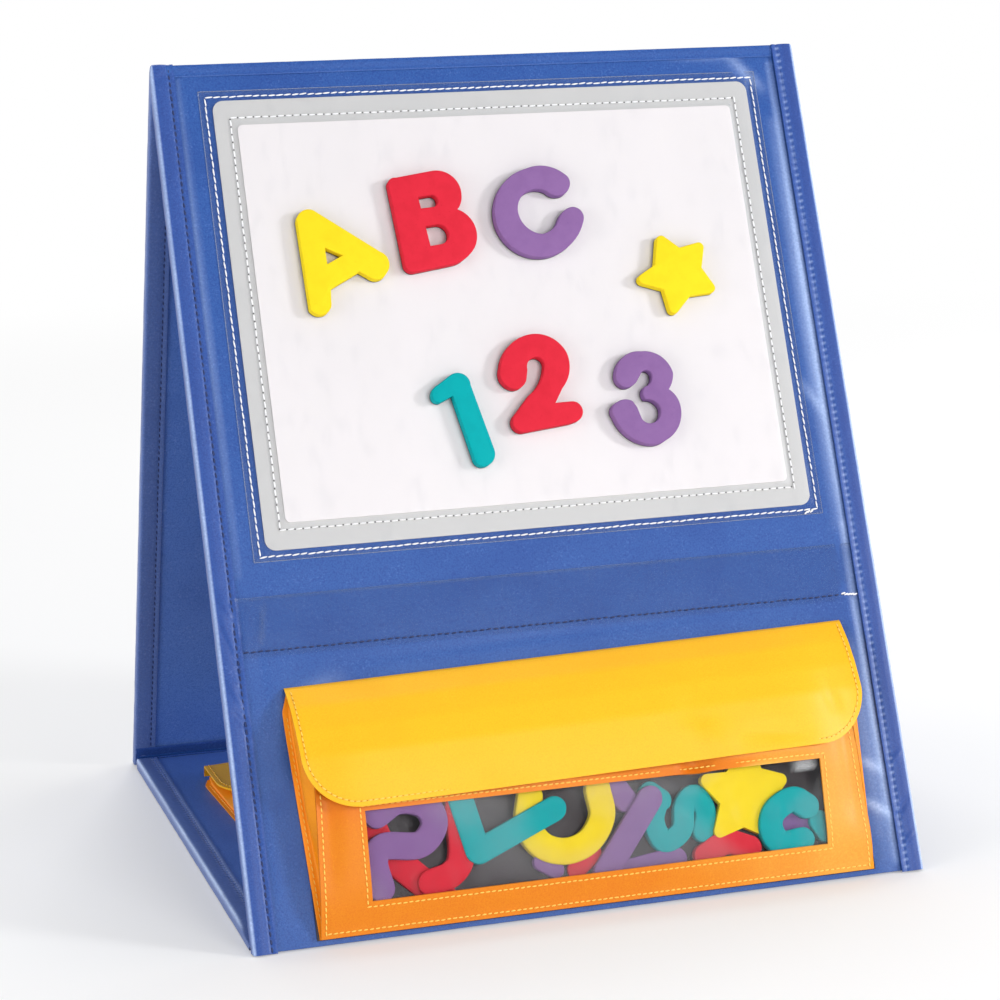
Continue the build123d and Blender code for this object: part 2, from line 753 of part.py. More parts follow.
loose_two = (((64, 351), (86, 361), (76, 370)), ((76, 370), (58, 366)), ((58, 366), (58.5, 381)))
loose_bar = (((184, 366), (165, 387)),)
loose_foot = (((178, 390), (197, 387.5)),)
loose_j = (((96, 358), (96, 374)), ((96, 374), (80, 384)))
loose_crescent = (((209, 386), (221, 384), (233, 386)),)
loose_v = (((99, 353), (103.5, 373)), ((103.5, 373), (139, 360)))
loose_s = chain_of((190, 361), (190, 372), (195, 379), (201, 372), (203, 361), (209, 358), (214, 375))
loose_c = (((264, 368), (243, 378), (259, 386)),)
loose_ring = (((163, 356), (147, 377.5), (130, 362)),)

make_loose(
    [
        strokes(loose_two),
        without(strokes(loose_bar), [around(loose_s)]),
        without(strokes(loose_foot, LOOSE_THIN), [around(loose_bar), around(loose_s)]),
    ],
    "contents_purple",
)
make_loose(
    [
        without(strokes(loose_j), [around(loose_two), around(loose_v)]),
        without(
            strokes(loose_crescent, LOOSE_THIN),
            [around(loose_s), around(loose_c), loose_star(STAR_ROOM)],
        ),
    ],
    "contents_red",
)
make_loose([strokes(loose_v), strokes(loose_s), strokes(loose_c)], "contents_teal")
make_loose(
    [
        without(strokes(loose_ring), [around(loose_v), around(loose_bar)]),
        without(loose_star(1.0), [around(loose_s), around(loose_c)]),
    ],
    "contents_yellow",
)
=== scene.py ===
"""Tabletop pocket chart: the finish of its vinyl, board, clear film, foam and tape.

Shapes are drawn in millimetres on flat working planes, and become metres in the shared frame.
"""

import logging
import random
from dataclasses import dataclass
from enum import Enum
from math import asin, cos, exp, hypot, pi, radians, sin, sqrt, tan
from typing import Callable, Iterable, Sequence

import bmesh
import bpy
from mathutils import Matrix, Vector, noise


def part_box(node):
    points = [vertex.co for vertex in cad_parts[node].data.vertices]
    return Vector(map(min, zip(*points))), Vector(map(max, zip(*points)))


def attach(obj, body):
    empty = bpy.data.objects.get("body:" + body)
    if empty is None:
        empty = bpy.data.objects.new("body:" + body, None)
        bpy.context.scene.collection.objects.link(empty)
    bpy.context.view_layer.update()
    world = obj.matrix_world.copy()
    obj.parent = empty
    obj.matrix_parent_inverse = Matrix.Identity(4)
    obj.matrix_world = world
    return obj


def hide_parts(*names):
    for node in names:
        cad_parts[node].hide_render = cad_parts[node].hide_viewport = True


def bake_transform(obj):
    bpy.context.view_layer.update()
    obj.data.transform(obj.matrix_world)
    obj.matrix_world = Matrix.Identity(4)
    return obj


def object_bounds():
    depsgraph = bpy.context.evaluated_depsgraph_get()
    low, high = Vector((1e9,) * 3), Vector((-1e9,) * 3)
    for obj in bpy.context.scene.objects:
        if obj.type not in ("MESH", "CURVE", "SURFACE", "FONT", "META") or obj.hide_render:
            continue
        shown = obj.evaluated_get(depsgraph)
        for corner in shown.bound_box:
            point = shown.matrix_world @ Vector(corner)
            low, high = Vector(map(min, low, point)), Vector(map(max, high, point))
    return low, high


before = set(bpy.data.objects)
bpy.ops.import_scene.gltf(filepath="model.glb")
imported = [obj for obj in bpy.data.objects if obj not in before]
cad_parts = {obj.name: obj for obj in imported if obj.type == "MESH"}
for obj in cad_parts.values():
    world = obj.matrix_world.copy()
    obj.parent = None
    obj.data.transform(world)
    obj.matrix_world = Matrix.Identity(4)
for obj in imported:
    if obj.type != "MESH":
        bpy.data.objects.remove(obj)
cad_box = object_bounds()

log = logging.getLogger("pocket_chart")

MM = 0.001
Point = tuple[float, float, float]
Flat = tuple[float, float]
Colour = tuple[float, float, float]
Place = Callable[[float, float], Point]

# Driving sizes, in millimetres
PANEL_LENGTH = 406.0
PANEL_WIDTH = (cad_box[1].x - cad_box[0].x) / MM
BASE_DEPTH = (cad_box[1].y - cad_box[0].y) / MM
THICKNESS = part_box("base_bindings")[1].z / MM
VINYL = 0.9
LEAN = asin(BASE_DEPTH / 2 / PANEL_LENGTH)
RIDGE = PANEL_LENGTH * cos(LEAN)
HALF = PANEL_WIDTH / 2
SKIN = -VINYL
BAND = 11.0
SEAM = 8.6
STITCH_PITCH = 3.4
INSET = BAND - 4
INNER_TOP = -16.0
POUCH_LINE = 290.0
BASE_POUCH_LINE = 246.0


class Slot(Enum):
    """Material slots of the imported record."""

    BLUE = "blue_vinyl"
    YELLOW = "yellow_vinyl"
    CLEAR = "clear_vinyl"
    HOOK = "hook_tape"
    LOOP = "loop_tape"


class Side(Enum):
    """Left or right of a panel, seen from its outer face."""

    LEFT = -1
    RIGHT = 1


@dataclass(frozen=True)
class Plane:
    """A flat working plane in millimetres, with its x across, its y up and its z outward."""

    origin: Vector
    across: Vector
    up: Vector

    @property
    def out(self) -> Vector:
        """Direction that the plane faces."""
        return self.across.cross(self.up)

    @property
    def matrix(self) -> Matrix:
        """Takes the plane's millimetres to metres in the shared frame."""
        turn = Matrix((self.across, self.up, self.out)).transposed().to_4x4()
        return Matrix.Translation(self.origin * MM) @ turn @ Matrix.Scale(MM, 4)


# Working planes: x from a panel's left edge, y up the slope from the ridge (so it is negative)
SLOPE = Vector((0, sin(LEAN), cos(LEAN)))
BACK_SLOPE = Vector((0, -sin(LEAN), cos(LEAN)))
RIGHTWARD = Vector((1, 0, 0))
FORWARD = Vector((0, 1, 0))
FRONT = Plane(Vector((-HALF, 0, RIDGE)), RIGHTWARD, SLOPE)
REAR = Plane(Vector((HALF, 0, RIDGE)), -RIGHTWARD, BACK_SLOPE)
FRONT_INNER = Plane(Vector((HALF, 0, RIDGE)) - FRONT.out * THICKNESS, -RIGHTWARD, SLOPE)
REAR_INNER = Plane(Vector((-HALF, 0, RIDGE)) - REAR.out * THICKNESS, RIGHTWARD, BACK_SLOPE)
BASE = Plane(Vector((-HALF, -BASE_DEPTH / 2, THICKNESS)), RIGHTWARD, FORWARD)
BASE_UNDER = Plane(Vector((HALF, -BASE_DEPTH / 2, 0)), -RIGHTWARD, FORWARD)
WORLD = Plane(Vector((0, 0, 0)), RIGHTWARD, FORWARD)


def ease(value: float, low: float, high: float) -> float:
    """Smooth step from 0 at low to 1 at high."""
    share = min(1.0, max(0.0, (value - low) / (high - low)))
    return share * share * (3 - 2 * share)


def blend_of(stops: Sequence[Flat], value: float) -> float:
    """Height at a value of a line drawn straight from stop to stop.

    Args:
        stops: Pairs of value and height, with the values rising.
        value: Where the line is read.

    Returns:
        The line's height there.
    """
    if value <= stops[0][0]:
        return stops[0][1]
    for (low, first), (high, second) in zip(stops, stops[1:]):
        if value <= high:
            return first + (second - first) * (value - low) / (high - low)
    return stops[-1][1]


def softened(stops: Sequence[Flat], value: float, reach: float) -> float:
    """The same line with its corners rounded over a reach."""
    steps = 4
    places = [value + reach * (step / steps - 0.5) for step in range(steps + 1)]
    return sum(blend_of(stops, place) for place in places) / len(places)


def ripple(x: float, y: float, size: float, seed: float = 0.0) -> float:
    """Smooth random height from -1 to 1, with bumps of about the given size."""
    return noise.noise(Vector((x / size, y / size, seed)))


# Shaders

class Value:
    """A socket of a shader tree. Arithmetic on values adds Math nodes."""

    def __init__(self, tree: "Tree", socket: bpy.types.NodeSocket) -> None:
        """Holds an output socket of a tree."""
        self.tree = tree
        self.socket = socket

    def join(self, operation: str, first: "Value | float", second: "Value | float") -> "Value":
        """A Math node on two values."""
        return self.tree.node("ShaderNodeMath", {"operation": operation}, {0: first, 1: second})

    def __add__(self, other: "Value | float") -> "Value":
        """Sum."""
        return self.join("ADD", self, other)

    __radd__ = __add__

    def __sub__(self, other: "Value | float") -> "Value":
        """Difference."""
        return self.join("SUBTRACT", self, other)

    def __rsub__(self, other: float) -> "Value":
        """Difference from a number."""
        return self.join("SUBTRACT", other, self)

    def __mul__(self, other: "Value | float") -> "Value":
        """Product."""
        return self.join("MULTIPLY", self, other)

    __rmul__ = __mul__

    def stretched(self, low: float, high: float) -> "Value":
        """The value with low taken to 0 and high to 1, smoothly and no further."""
        settings = {"interpolation_type": "SMOOTHSTEP"}
        return self.tree.node("ShaderNodeMapRange", settings, {0: self, 1: low, 2: high})


class Tree:
    """A material's or the world's node tree, with one method that adds any node."""

    def __init__(self, owner: bpy.types.Material | bpy.types.World) -> None:
        """Starts an empty tree on a material or a world."""
        owner.use_nodes = True
        self.tree = owner.node_tree
        self.tree.nodes.clear()

    def node(self, kind: str, settings: dict | None = None, inputs: dict | None = None,
             output: int | str = 0) -> Value:
        """Adds a node.

        Args:
            kind: The node's type.
            settings: Its properties.
            inputs: Values, links or constants by socket.
            output: The socket that is handed on.

        Returns:
            The node's output as a value.
        """
        made = self.tree.nodes.new(kind)
        for key, value in (settings or {}).items():
            setattr(made, key, value)
        for key, value in (inputs or {}).items():
            if isinstance(value, Value):
                self.tree.links.new(value.socket, made.inputs[key])
            elif isinstance(value, tuple) and len(made.inputs[key].default_value) == 4:
                made.inputs[key].default_value = (*value, 1.0)
            else:
                made.inputs[key].default_value = value
        return Value(self, made.outputs[output] if made.outputs else None)

    def mix(self, first: "Value | Colour", second: "Value | Colour", factor: Value) -> Value:
        """Colour between two, by a factor."""
        inputs = {0: factor, 6: first, 7: second}
        return self.node("ShaderNodeMix", {"data_type": "RGBA"}, inputs, 2)

    def spot(self, stretch: Point = (1.0, 1.0, 1.0)) -> Value:
        """Object coordinates, stretched along the frame's axes."""
        place = self.node("ShaderNodeTexCoord", output="Object")
        return self.node("ShaderNodeMapping", None, {"Vector": place, "Scale": stretch})

    def cloud(self, size: float, detail: float = 2.0, spot: Value | None = None) -> Value:
        """Noise with features of a size in millimetres, from 0 to 1."""
        inputs = {"Vector": spot or self.spot(), "Scale": 1 / (size * MM), "Detail": detail}
        return self.node("ShaderNodeTexNoise", None, inputs)

    def cells(self, size: float, spot: Value | None = None) -> Value:
        """Rounded cells of a size in millimetres: 0 at their middles."""
        inputs = {"Vector": spot or self.spot(), "Scale": 1 / (size * MM)}
        return self.node("ShaderNodeTexVoronoi", None, inputs)

    def bump(self, height: Value, depth: float, strength: float = 1.0) -> Value:
        """Surface normal from a height, with its depth in millimetres."""
        inputs = {"Height": height, "Distance": depth * MM, "Strength": strength}
        return self.node("ShaderNodeBump", None, inputs)

    def surface(self, **inputs: "Value | Colour | float") -> Value:
        """Principled surface, named by its sockets with underscores for spaces."""
        named = {key.replace("_", " "): value for key, value in inputs.items()}
        return self.node("ShaderNodeBsdfPrincipled", None, named)

    def end(self, shader: Value, kind: str = "ShaderNodeOutputMaterial") -> None:
        """Joins the shader to the tree's output."""
        self.node(kind, None, {"Surface": shader})


@dataclass(frozen=True)
class Finish:
    """What a surface is made of. Each kind of finish builds its own material."""

    name: str
    colour: Colour

    def dress(self, tree: Tree) -> Value:
        """The finish's shader."""
        return tree.surface(Base_Color=self.colour)

    def material(self) -> bpy.types.Material:
        """The material, made once."""
        title = f"{self.name}_finish"
        found = bpy.data.materials.get(title)
        if found is None:
            found = bpy.data.materials.new(title)
            tree = Tree(found)
            tree.end(self.dress(tree))
        return found


@dataclass(frozen=True)
class Vinyl(Finish):
    """Satin vinyl with a fine pressed grain and pale specks of painted highlight on its tops."""

    pores: Colour
    # Colour of the pale specks of painted highlight
    speck_highlight: Colour
    grain: float = 0.75
    roughness: float = 0.4
    relief: float = 0.04
    # Share of the painted highlight specks
    speck_highlight_share: float = 0.3
    # Colour of the painted highlight that the painted light attribute adds
    highlight_colour: Colour = (0.5, 0.64, 0.95)

    def dress(self, tree: Tree) -> Value:
        """Pebbled grain under cloudy tints, with pale specks of painted highlight on its tops.

        The mesh's painted light attribute gives a painted highlight where it is above 0,
        and painted shade towards the pores' colour where it is below 0.

        Args:
            tree: The material's nodes.

        Returns:
            The finish's shader.
        """
        pebbles = tree.cells(self.grain)
        specks = tree.cloud(1.5 * self.grain, 3.0)
        drift = tree.cloud(38.0, 3.0)
        speck_clouds = tree.cloud(11.0, 2.0)
        tint = tree.mix(self.colour, self.pores, pebbles.stretched(0.25, 0.95) * 0.55)
        tint = tree.mix(tint, self.pores, drift.stretched(0.45, 0.75) * 0.3)
        # Painted highlight: pale specks on the grain's tops, in cloudy spots
        worn = specks.stretched(0.52, 0.72) * speck_clouds.stretched(0.3, 0.7) * self.speck_highlight_share
        tint = tree.mix(tint, self.speck_highlight, worn)
        # Painted light from the mesh: painted shade below 0, painted highlight above 0
        polish = tree.node("ShaderNodeAttribute", {"attribute_name": "polish"}, None, "Fac")
        tint = tree.mix(tint, self.pores, polish * -1.0)
        tint = tree.mix(tint, self.highlight_colour, polish * (0.55 + specks * 0.9))
        rough = self.roughness + specks * 0.16 + drift * 0.12 - 0.14
        height = specks * 0.6 - pebbles * 0.7
        return tree.surface(
            Base_Color=tint, Roughness=rough, Normal=tree.bump(height, self.relief),
            Specular_IOR_Level=0.26,
        )


@dataclass(frozen=True)
class ClearFilm(Finish):
    """Clear, slightly slack film: nearly unseen from the front and glossy at a slant."""

    roughness: float = 0.14
    # Strength of the painted reflection: milky areas of denser film
    reflection_patches: float = 0.0

    def dress(self, tree: Tree) -> Value:
        """Thin gloss that grows towards grazing angles, with painted reflection as milky areas.

        It is denser, as a painted highlight, where the painted light attribute is above 0.

        Args:
            tree: The material's nodes.

        Returns:
            The finish's shader.
        """
        sag = tree.cloud(16.0, 2.0)
        slant = tree.node("ShaderNodeFresnel", None, {"IOR": 1.45})
        smear = tree.cloud(7.0, 4.0, tree.spot((1.0, 1.0, 0.35)))
        # Painted highlight and painted glint, from the painted light attribute
        hem = tree.node("ShaderNodeAttribute", {"attribute_name": "polish"}, None, "Fac")
        cover = slant * 0.3 + smear.stretched(0.5, 0.8) * 0.02 + hem
        # Painted reflection: milky areas where the film is denser
        if self.reflection_patches:
            painted_brightening = tree.cloud(52.0, 0.5, tree.spot((1.0, 1.0, 1.6)))
            cover = cover + painted_brightening.stretched(0.42, 0.58) * self.reflection_patches
        return tree.surface(
            Base_Color=self.colour, Alpha=cover, Roughness=smear * 0.1 + self.roughness,
            Normal=tree.bump(sag, 0.8, 0.5),
        )


@dataclass(frozen=True)
class Foam(Finish):
    """Closed-cell foam with fine open pores in a matt skin."""

    shade: Colour

    def dress(self, tree: Tree) -> Value:
        """Matt colour, uneven at the scale of the pores.

        Args:
            tree: The material's nodes.

        Returns:
            The finish's shader.
        """
        pores = tree.cells(0.35)
        blotch = tree.cloud(6.0, 3.0)
        nicks = tree.cloud(1.2, 4.0)
        tint = tree.mix(self.colour, self.shade, blotch.stretched(0.35, 0.75) * 0.35)
        tint = tree.mix(tint, self.shade, nicks.stretched(0.62, 0.74) * 0.5)
        height = nicks * 0.6 - pores * 0.4
        return tree.surface(
            Base_Color=tint, Roughness=nicks * 0.15 + 0.62, Normal=tree.bump(height, 0.06),
            Specular_IOR_Level=0.1,
        )


@dataclass(frozen=True)
class Thread(Finish):
    """Twisted polyester sewing thread."""

    shade: Colour

    def dress(self, tree: Tree) -> Value:
        """Fine twist lines across the thread."""
        twist = tree.node(
            "ShaderNodeTexWave", {"bands_direction": "DIAGONAL"},
            {"Vector": tree.spot(), "Scale": 1 / (1.1 * MM), "Distortion": 2.0},
        )
        tint = tree.mix(self.colour, self.shade, twist * 0.6)
        return tree.surface(Base_Color=tint, Roughness=0.5, Normal=tree.bump(twist, 0.05))


@dataclass(frozen=True)
class WipeClean(Finish):
    """Smooth coated sheet, with faint smudges left by wiping."""

    smudge: Colour
    roughness: float = 0.25

    def dress(self, tree: Tree) -> Value:
        """Even coat with broad wiping marks."""
        wiped = tree.cloud(45.0, 4.0, tree.spot((1.0, 0.4, 0.4)))
        dust = tree.cloud(2.5, 3.0)
        tint = tree.mix(self.colour, self.smudge, wiped.stretched(0.4, 0.8) * 0.6)
        tint = tree.mix(tint, self.smudge, dust.stretched(0.68, 0.8) * 0.4)
        rough = wiped * 0.18 + self.roughness
        return tree.surface(Base_Color=tint, Roughness=rough, Normal=tree.bump(dust, 0.01))


@dataclass(frozen=True)
class Pile(Finish):
    """Hook-and-loop tape: rows of stiff hooks, or a felt of soft loops."""

    shade: Colour
    pitch: float = 1.4

    def dress(self, tree: Tree) -> Value:
        """Small tufts with dark gaps between."""
        tufts = tree.cells(self.pitch)
        fuzz = tree.cloud(0.5, 4.0)
        tint = tree.mix(self.colour, self.shade, tufts.stretched(0.25, 0.8))
        height = fuzz * 0.4 - tufts
        return tree.surface(Base_Color=tint, Roughness=0.85, Normal=tree.bump(height, 0.5))


@dataclass(frozen=True)
class Plain(Finish):
    """Board, steel or magnet sheet with a fibrous or rolled grain."""

    shade: Colour
    roughness: float = 0.8
    metallic: float = 0.0
    stretch: Point = (1.0, 1.0, 1.0)

    def dress(self, tree: Tree) -> Value:
        """Fibres or rolling marks, drawn out along one axis."""
        fibres = tree.cloud(1.0, 5.0, tree.spot(self.stretch))
        tint = tree.mix(self.colour, self.shade, fibres.stretched(0.35, 0.7))
        return tree.surface(
            Base_Color=tint, Roughness=fibres * 0.15 + self.roughness, Metallic=self.metallic,
            Normal=tree.bump(fibres, 0.04),
        )


BLUE_VINYL = Vinyl("blue_vinyl", (0.026, 0.095, 0.345), (0.01, 0.045, 0.24), (0.11, 0.21, 0.56))
BLUE_BAND = Vinyl(
    "blue_vinyl_band", (0.034, 0.094, 0.35), (0.018, 0.045, 0.22), (0.12, 0.2, 0.54), speck_highlight_share=0.35
)
YELLOW_VINYL = Vinyl(
    "yellow_vinyl", (0.97, 0.51, 0.011), (0.93, 0.42, 0.006), (1.0, 0.58, 0.03), 0.6, 0.42, 0.02,
    0.4, (1.0, 0.8, 0.25),
)
ORANGE_VINYL = Vinyl(
    "orange_vinyl", (0.76, 0.235, 0.007), (0.7, 0.165, 0.005), (0.86, 0.34, 0.012), 0.6, 0.45, 0.02,
    0.4, (1.0, 0.7, 0.15),
)
PLEAT_VINYL = Vinyl(
    "pleat_vinyl", (0.98, 0.35, 0.008), (0.92, 0.26, 0.006), (1.0, 0.46, 0.02), 0.6, 0.45, 0.02
)
# Near-black sheet: painted shade of a pouch's inside, seen through its window
SHADE_LINING = Vinyl("shade_lining", (0.026, 0.014, 0.02), (0.014, 0.008, 0.012), (0.045, 0.03, 0.04))
# Brighter copy of the blue vinyl: painted light on the inner faces in the tent's shade
LIT_INNER_BLUE = Vinyl("lit_inner_blue_vinyl", (0.1, 0.21, 0.58), (0.05, 0.12, 0.42), (0.24, 0.38, 0.76))
CLEAR_FILM = ClearFilm("clear_film", (0.4, 0.45, 0.55))
STRIP_FILM = ClearFilm("strip_film", (0.12, 0.2, 0.42))
# The window film carries painted reflection as milky areas, and a painted glint from its mesh
WINDOW_FILM = ClearFilm("window_film", (0.62, 0.64, 0.66), roughness=0.08, reflection_patches=0.05)
WHITE_BOARD = WipeClean("white_board", (0.87, 0.83, 0.835), (0.82, 0.785, 0.79))
GREY_SHEET = WipeClean("grey_sheet", (0.62, 0.615, 0.61), (0.56, 0.56, 0.56), 0.35)
WHITE_THREAD = Thread("white_thread", (0.97, 0.97, 0.98), (0.82, 0.82, 0.85))
# Blue thread darkened as painted shade of the grooves that it lies in
SHADED_BLUE_THREAD = Thread("blue_thread", (0.012, 0.03, 0.13), (0.006, 0.014, 0.07))
# Paler copy of the blue thread: painted light on the stitches of the front's right band and the
# base's bands
LIT_THREAD = Thread("lit_blue_thread", (0.13, 0.23, 0.6), (0.06, 0.12, 0.4))
YELLOW_THREAD = Thread("yellow_thread", (1.0, 0.7, 0.14), (0.9, 0.46, 0.03))
# Dark dots: painted shade of needle holes
HOLE_SHADE = Plain("needle_holes", (0.06, 0.055, 0.06), (0.03, 0.03, 0.03))
# Darker amber dots: painted shade of needle holes in the flap's seam groove
AMBER_HOLE_SHADE = Plain("amber_needle_holes", (0.72, 0.34, 0.012), (0.6, 0.26, 0.008))
HOOK_PILE = Pile("hook_tape", (0.035, 0.06, 0.22), (0.008, 0.014, 0.06))
LOOP_PILE = Pile("loop_tape", (0.045, 0.08, 0.27), (0.015, 0.028, 0.11), 0.9)
CHIPBOARD = Plain("chipboard", (0.42, 0.36, 0.28), (0.3, 0.25, 0.19), 0.85)
STEEL = Plain("rolled_steel", (0.6, 0.61, 0.63), (0.48, 0.49, 0.51), 0.3, 1.0, (0.1, 1.0, 1.0))
MAGNET = Plain("magnet_sheet", (0.05, 0.042, 0.04), (0.03, 0.026, 0.025), 0.7)
FOAMS = {
    "yellow": Foam("foam_yellow", (0.88, 0.67, 0.015), (0.79, 0.57, 0.01)),
    "red": Foam("foam_red", (0.68, 0.022, 0.045), (0.56, 0.015, 0.03)),
    "purple": Foam("foam_purple", (0.25, 0.13, 0.33), (0.2, 0.095, 0.27)),
    "teal": Foam("foam_teal", (0.0, 0.37, 0.395), (0.0, 0.3, 0.325)),
}


# Meshes

def grid(columns: int, rows: int, place: Place) -> bmesh.types.BMesh:
    """Sheet of cells whose corners lie where place says.

    Args:
        columns: Cells across.
        rows: Cells along.
        place: Gives a corner's point from its shares across and along, from 0 to 1.

    Returns:
        The open sheet.
    """
    bm = bmesh.new()
    bmesh.ops.create_grid(bm, x_segments=columns, y_segments=rows, size=0.5)
    for vert in bm.verts:
        vert.co = place(vert.co.x + 0.5, vert.co.y + 0.5)
    return bm


def sheet(columns: int, rows: int, place: Place, depth: float) -> bmesh.types.BMesh:
    """A sheet as grid makes it, given its thickness behind its face."""
    bm = grid(columns, rows, place)
    bmesh.ops.solidify(bm, geom=bm.faces[:], thickness=depth)
    return bm


def round_edges(bm: bmesh.types.BMesh, edges: Sequence[bmesh.types.BMEdge], radius: float,
                segments: int) -> None:
    """Rounds edges off.

    Args:
        bm: The mesh, which is changed.
        edges: The edges to round.
        radius: Radius in the mesh's units.
        segments: Steps of the rounding.
    """
    bmesh.ops.bevel(
        bm, geom=edges, offset=radius, offset_type="OFFSET", affect="EDGES", segments=segments,
        profile=0.5, material=-1, clamp_overlap=True,
    )


def plate(outline: Sequence[Flat], low: float, high: float, round_off: float) -> bmesh.types.BMesh:
    """Flat plate of one outline, with its upper rim rounded off.

    Args:
        outline: Corners of the plate, anticlockwise.
        low: Height of its underside.
        high: Height of its face.
        round_off: Radius of the rim.

    Returns:
        The closed plate.
    """
    bm = bmesh.new()
    face = bm.faces.new([bm.verts.new((x, y, low)) for x, y in outline])
    grown = bmesh.ops.extrude_face_region(bm, geom=[face])
    tops = [item for item in grown["geom"] if isinstance(item, bmesh.types.BMVert)]
    bmesh.ops.translate(bm, verts=tops, vec=(0, 0, high - low))
    rim = [edge for edge in bm.edges if all(vert in tops for vert in edge.verts)]
    round_edges(bm, rim, round_off, 2)
    return bm


def rounded(low: Flat, high: Flat, radius: float, steps: int = 5) -> list[Flat]:
    """Outline of a rectangle with rounded corners, anticlockwise.

    Args:
        low: Lower left corner.
        high: Upper right corner.
        radius: Radius of its corners.
        steps: Sides of each rounded corner.

    Returns:
        The outline's corners.
    """
    corners = ((high[0], high[1]), (low[0], high[1]), (low[0], low[1]), (high[0], low[1]))
    signs = ((1, 1), (-1, 1), (-1, -1), (1, -1))
    points = []
    for turn, (corner, sign) in enumerate(zip(corners, signs)):
        middle = (corner[0] - sign[0] * radius, corner[1] - sign[1] * radius)
        for step in range(steps + 1):
            angle = (turn + step / steps) * pi / 2
            points.append((middle[0] + radius * cos(angle), middle[1] + radius * sin(angle)))
    return points


def joined(parts: Iterable[bmesh.types.BMesh]) -> bmesh.types.BMesh:
    """Several meshes as one.

    Args:
        parts: Meshes to join, which are freed.

    Returns:
        One mesh with all of them.
    """
    whole = bmesh.new()
    for part in parts:
        held = bpy.data.meshes.new("part")
        part.to_mesh(held)
        part.free()
        whole.from_mesh(held)
        bpy.data.meshes.remove(held)
    return whole


def cut_window(bm: bmesh.types.BMesh, low: Flat, high: Flat) -> None:
    """Cuts an upright rectangular window through an open sheet.

    Args:
        bm: The sheet, which is changed.
        low: Lower left corner of the window.
        high: Upper right corner of the window.
    """
    for axis in range(2):
        for limit in (low[axis], high[axis]):
            spot, normal = Vector((0, 0, 0)), Vector((0, 0, 0))
            spot[axis], normal[axis] = limit, 1.0
            geometry = bm.verts[:] + bm.edges[:] + bm.faces[:]
            bmesh.ops.bisect_plane(bm, geom=geometry, dist=0.01, plane_co=spot, plane_no=normal)
    inside = []
    for face in bm.faces:
        middle = face.calc_center_median()
        if low[0] < middle.x < high[0] and low[1] < middle.y < high[1]:
            inside.append(face)
    bmesh.ops.delete(bm, geom=inside, context="FACES")


def path_through(points: Sequence[Point], step: float = 1.5) -> list[Vector]:
    """Smooth line through a few points.

    Args:
        points: The points that it passes.
        step: Distance between the line's own points, about.

    Returns:
        The line as evenly spaced points.
    """
    known = [Vector(point) for point in points]
    known = [2 * known[0] - known[1], *known, 2 * known[-1] - known[-2]]
    line = []
    for before, first, second, after in zip(known, known[1:], known[2:], known[3:]):
        count = max(2, round((second - first).length / step))
        for index in range(count):
            t = index / count
            turn_in, turn_out = (second - before) / 2, (after - first) / 2
            line.append(
                first * (2 * t**3 - 3 * t**2 + 1) + turn_in * (t**3 - 2 * t**2 + t)
                + second * (3 * t**2 - 2 * t**3) + turn_out * (t**3 - t**2)
            )
    line.append(known[-2])
    return line


def length_of(line: Sequence[Vector]) -> float:
    """Length of a line of points."""
    return sum((second - first).length for first, second in zip(line, line[1:]))


def spot_on(line: Sequence[Vector], along: float) -> Vector:
    """Point at a share of a line's points, from 0 to 1."""
    share = along * (len(line) - 1)
    index = min(int(share), len(line) - 2)
    return line[index].lerp(line[index + 1], share - index)


def board_of(body: str) -> str:
    """Name of the board inside a panel."""
    return body.replace("_panel", "_board")


def shade(bm: bmesh.types.BMesh, limit: float) -> None:
    """Smooth faces, with edges sharper than a limit in degrees kept crisp."""
    for face in bm.faces:
        face.smooth = True
    for edge in bm.edges:
        if len(edge.link_faces) == 2 and edge.calc_face_angle(0.0) > radians(limit):
            edge.smooth = False


def finished(name: str, bm: bmesh.types.BMesh, plane: Plane, finish: Finish, body: str | None,
             nodes: Sequence[str] = (), slot: Slot | None = None, limit: float = 35.0,
             polish: Callable[[Vector], float] | None = None) -> bpy.types.Object:
    """Makes a piece from its mesh and gives it its place, finish and body.

    Args:
        name: The piece's name.
        bm: Its mesh in the plane's millimetres, which is used up.
        plane: The working plane that it was drawn on.
        finish: What it is made of.
        body: The body that it rides on, or None, where it rides on none.
        nodes: The CAD nodes that it stands for.
        slot: The record's material slot of the piece; not used.
        limit: Angle over which an edge stays crisp, in degrees.
        polish: Painted highlight above 0 and painted shade below 0, at a point of the plane.

    Returns:
        The piece, with its object at the origin.
    """
    bmesh.ops.remove_doubles(bm, verts=bm.verts[:], dist=1e-4)
    bmesh.ops.recalc_face_normals(bm, faces=bm.faces[:])
    # Painted light: the materials read this attribute as painted highlight and painted shade
    if polish:
        layer = bm.verts.layers.float.new("polish")
        for vert in bm.verts:
            vert[layer] = polish(vert.co)
    shade(bm, limit)
    bmesh.ops.transform(bm, matrix=plane.matrix, verts=bm.verts[:])
    mesh = bpy.data.meshes.new(name)
    bm.to_mesh(mesh)
    bm.free()
    mesh.materials.append(finish.material())
    piece = bpy.data.objects.new(name, mesh)
    bpy.context.scene.collection.objects.link(piece)
    if body:
        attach(piece, body)
    if nodes:
        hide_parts(*nodes)
    log.info("%s: %d faces on %s", name, len(mesh.polygons), body or "two bodies")
    return piece


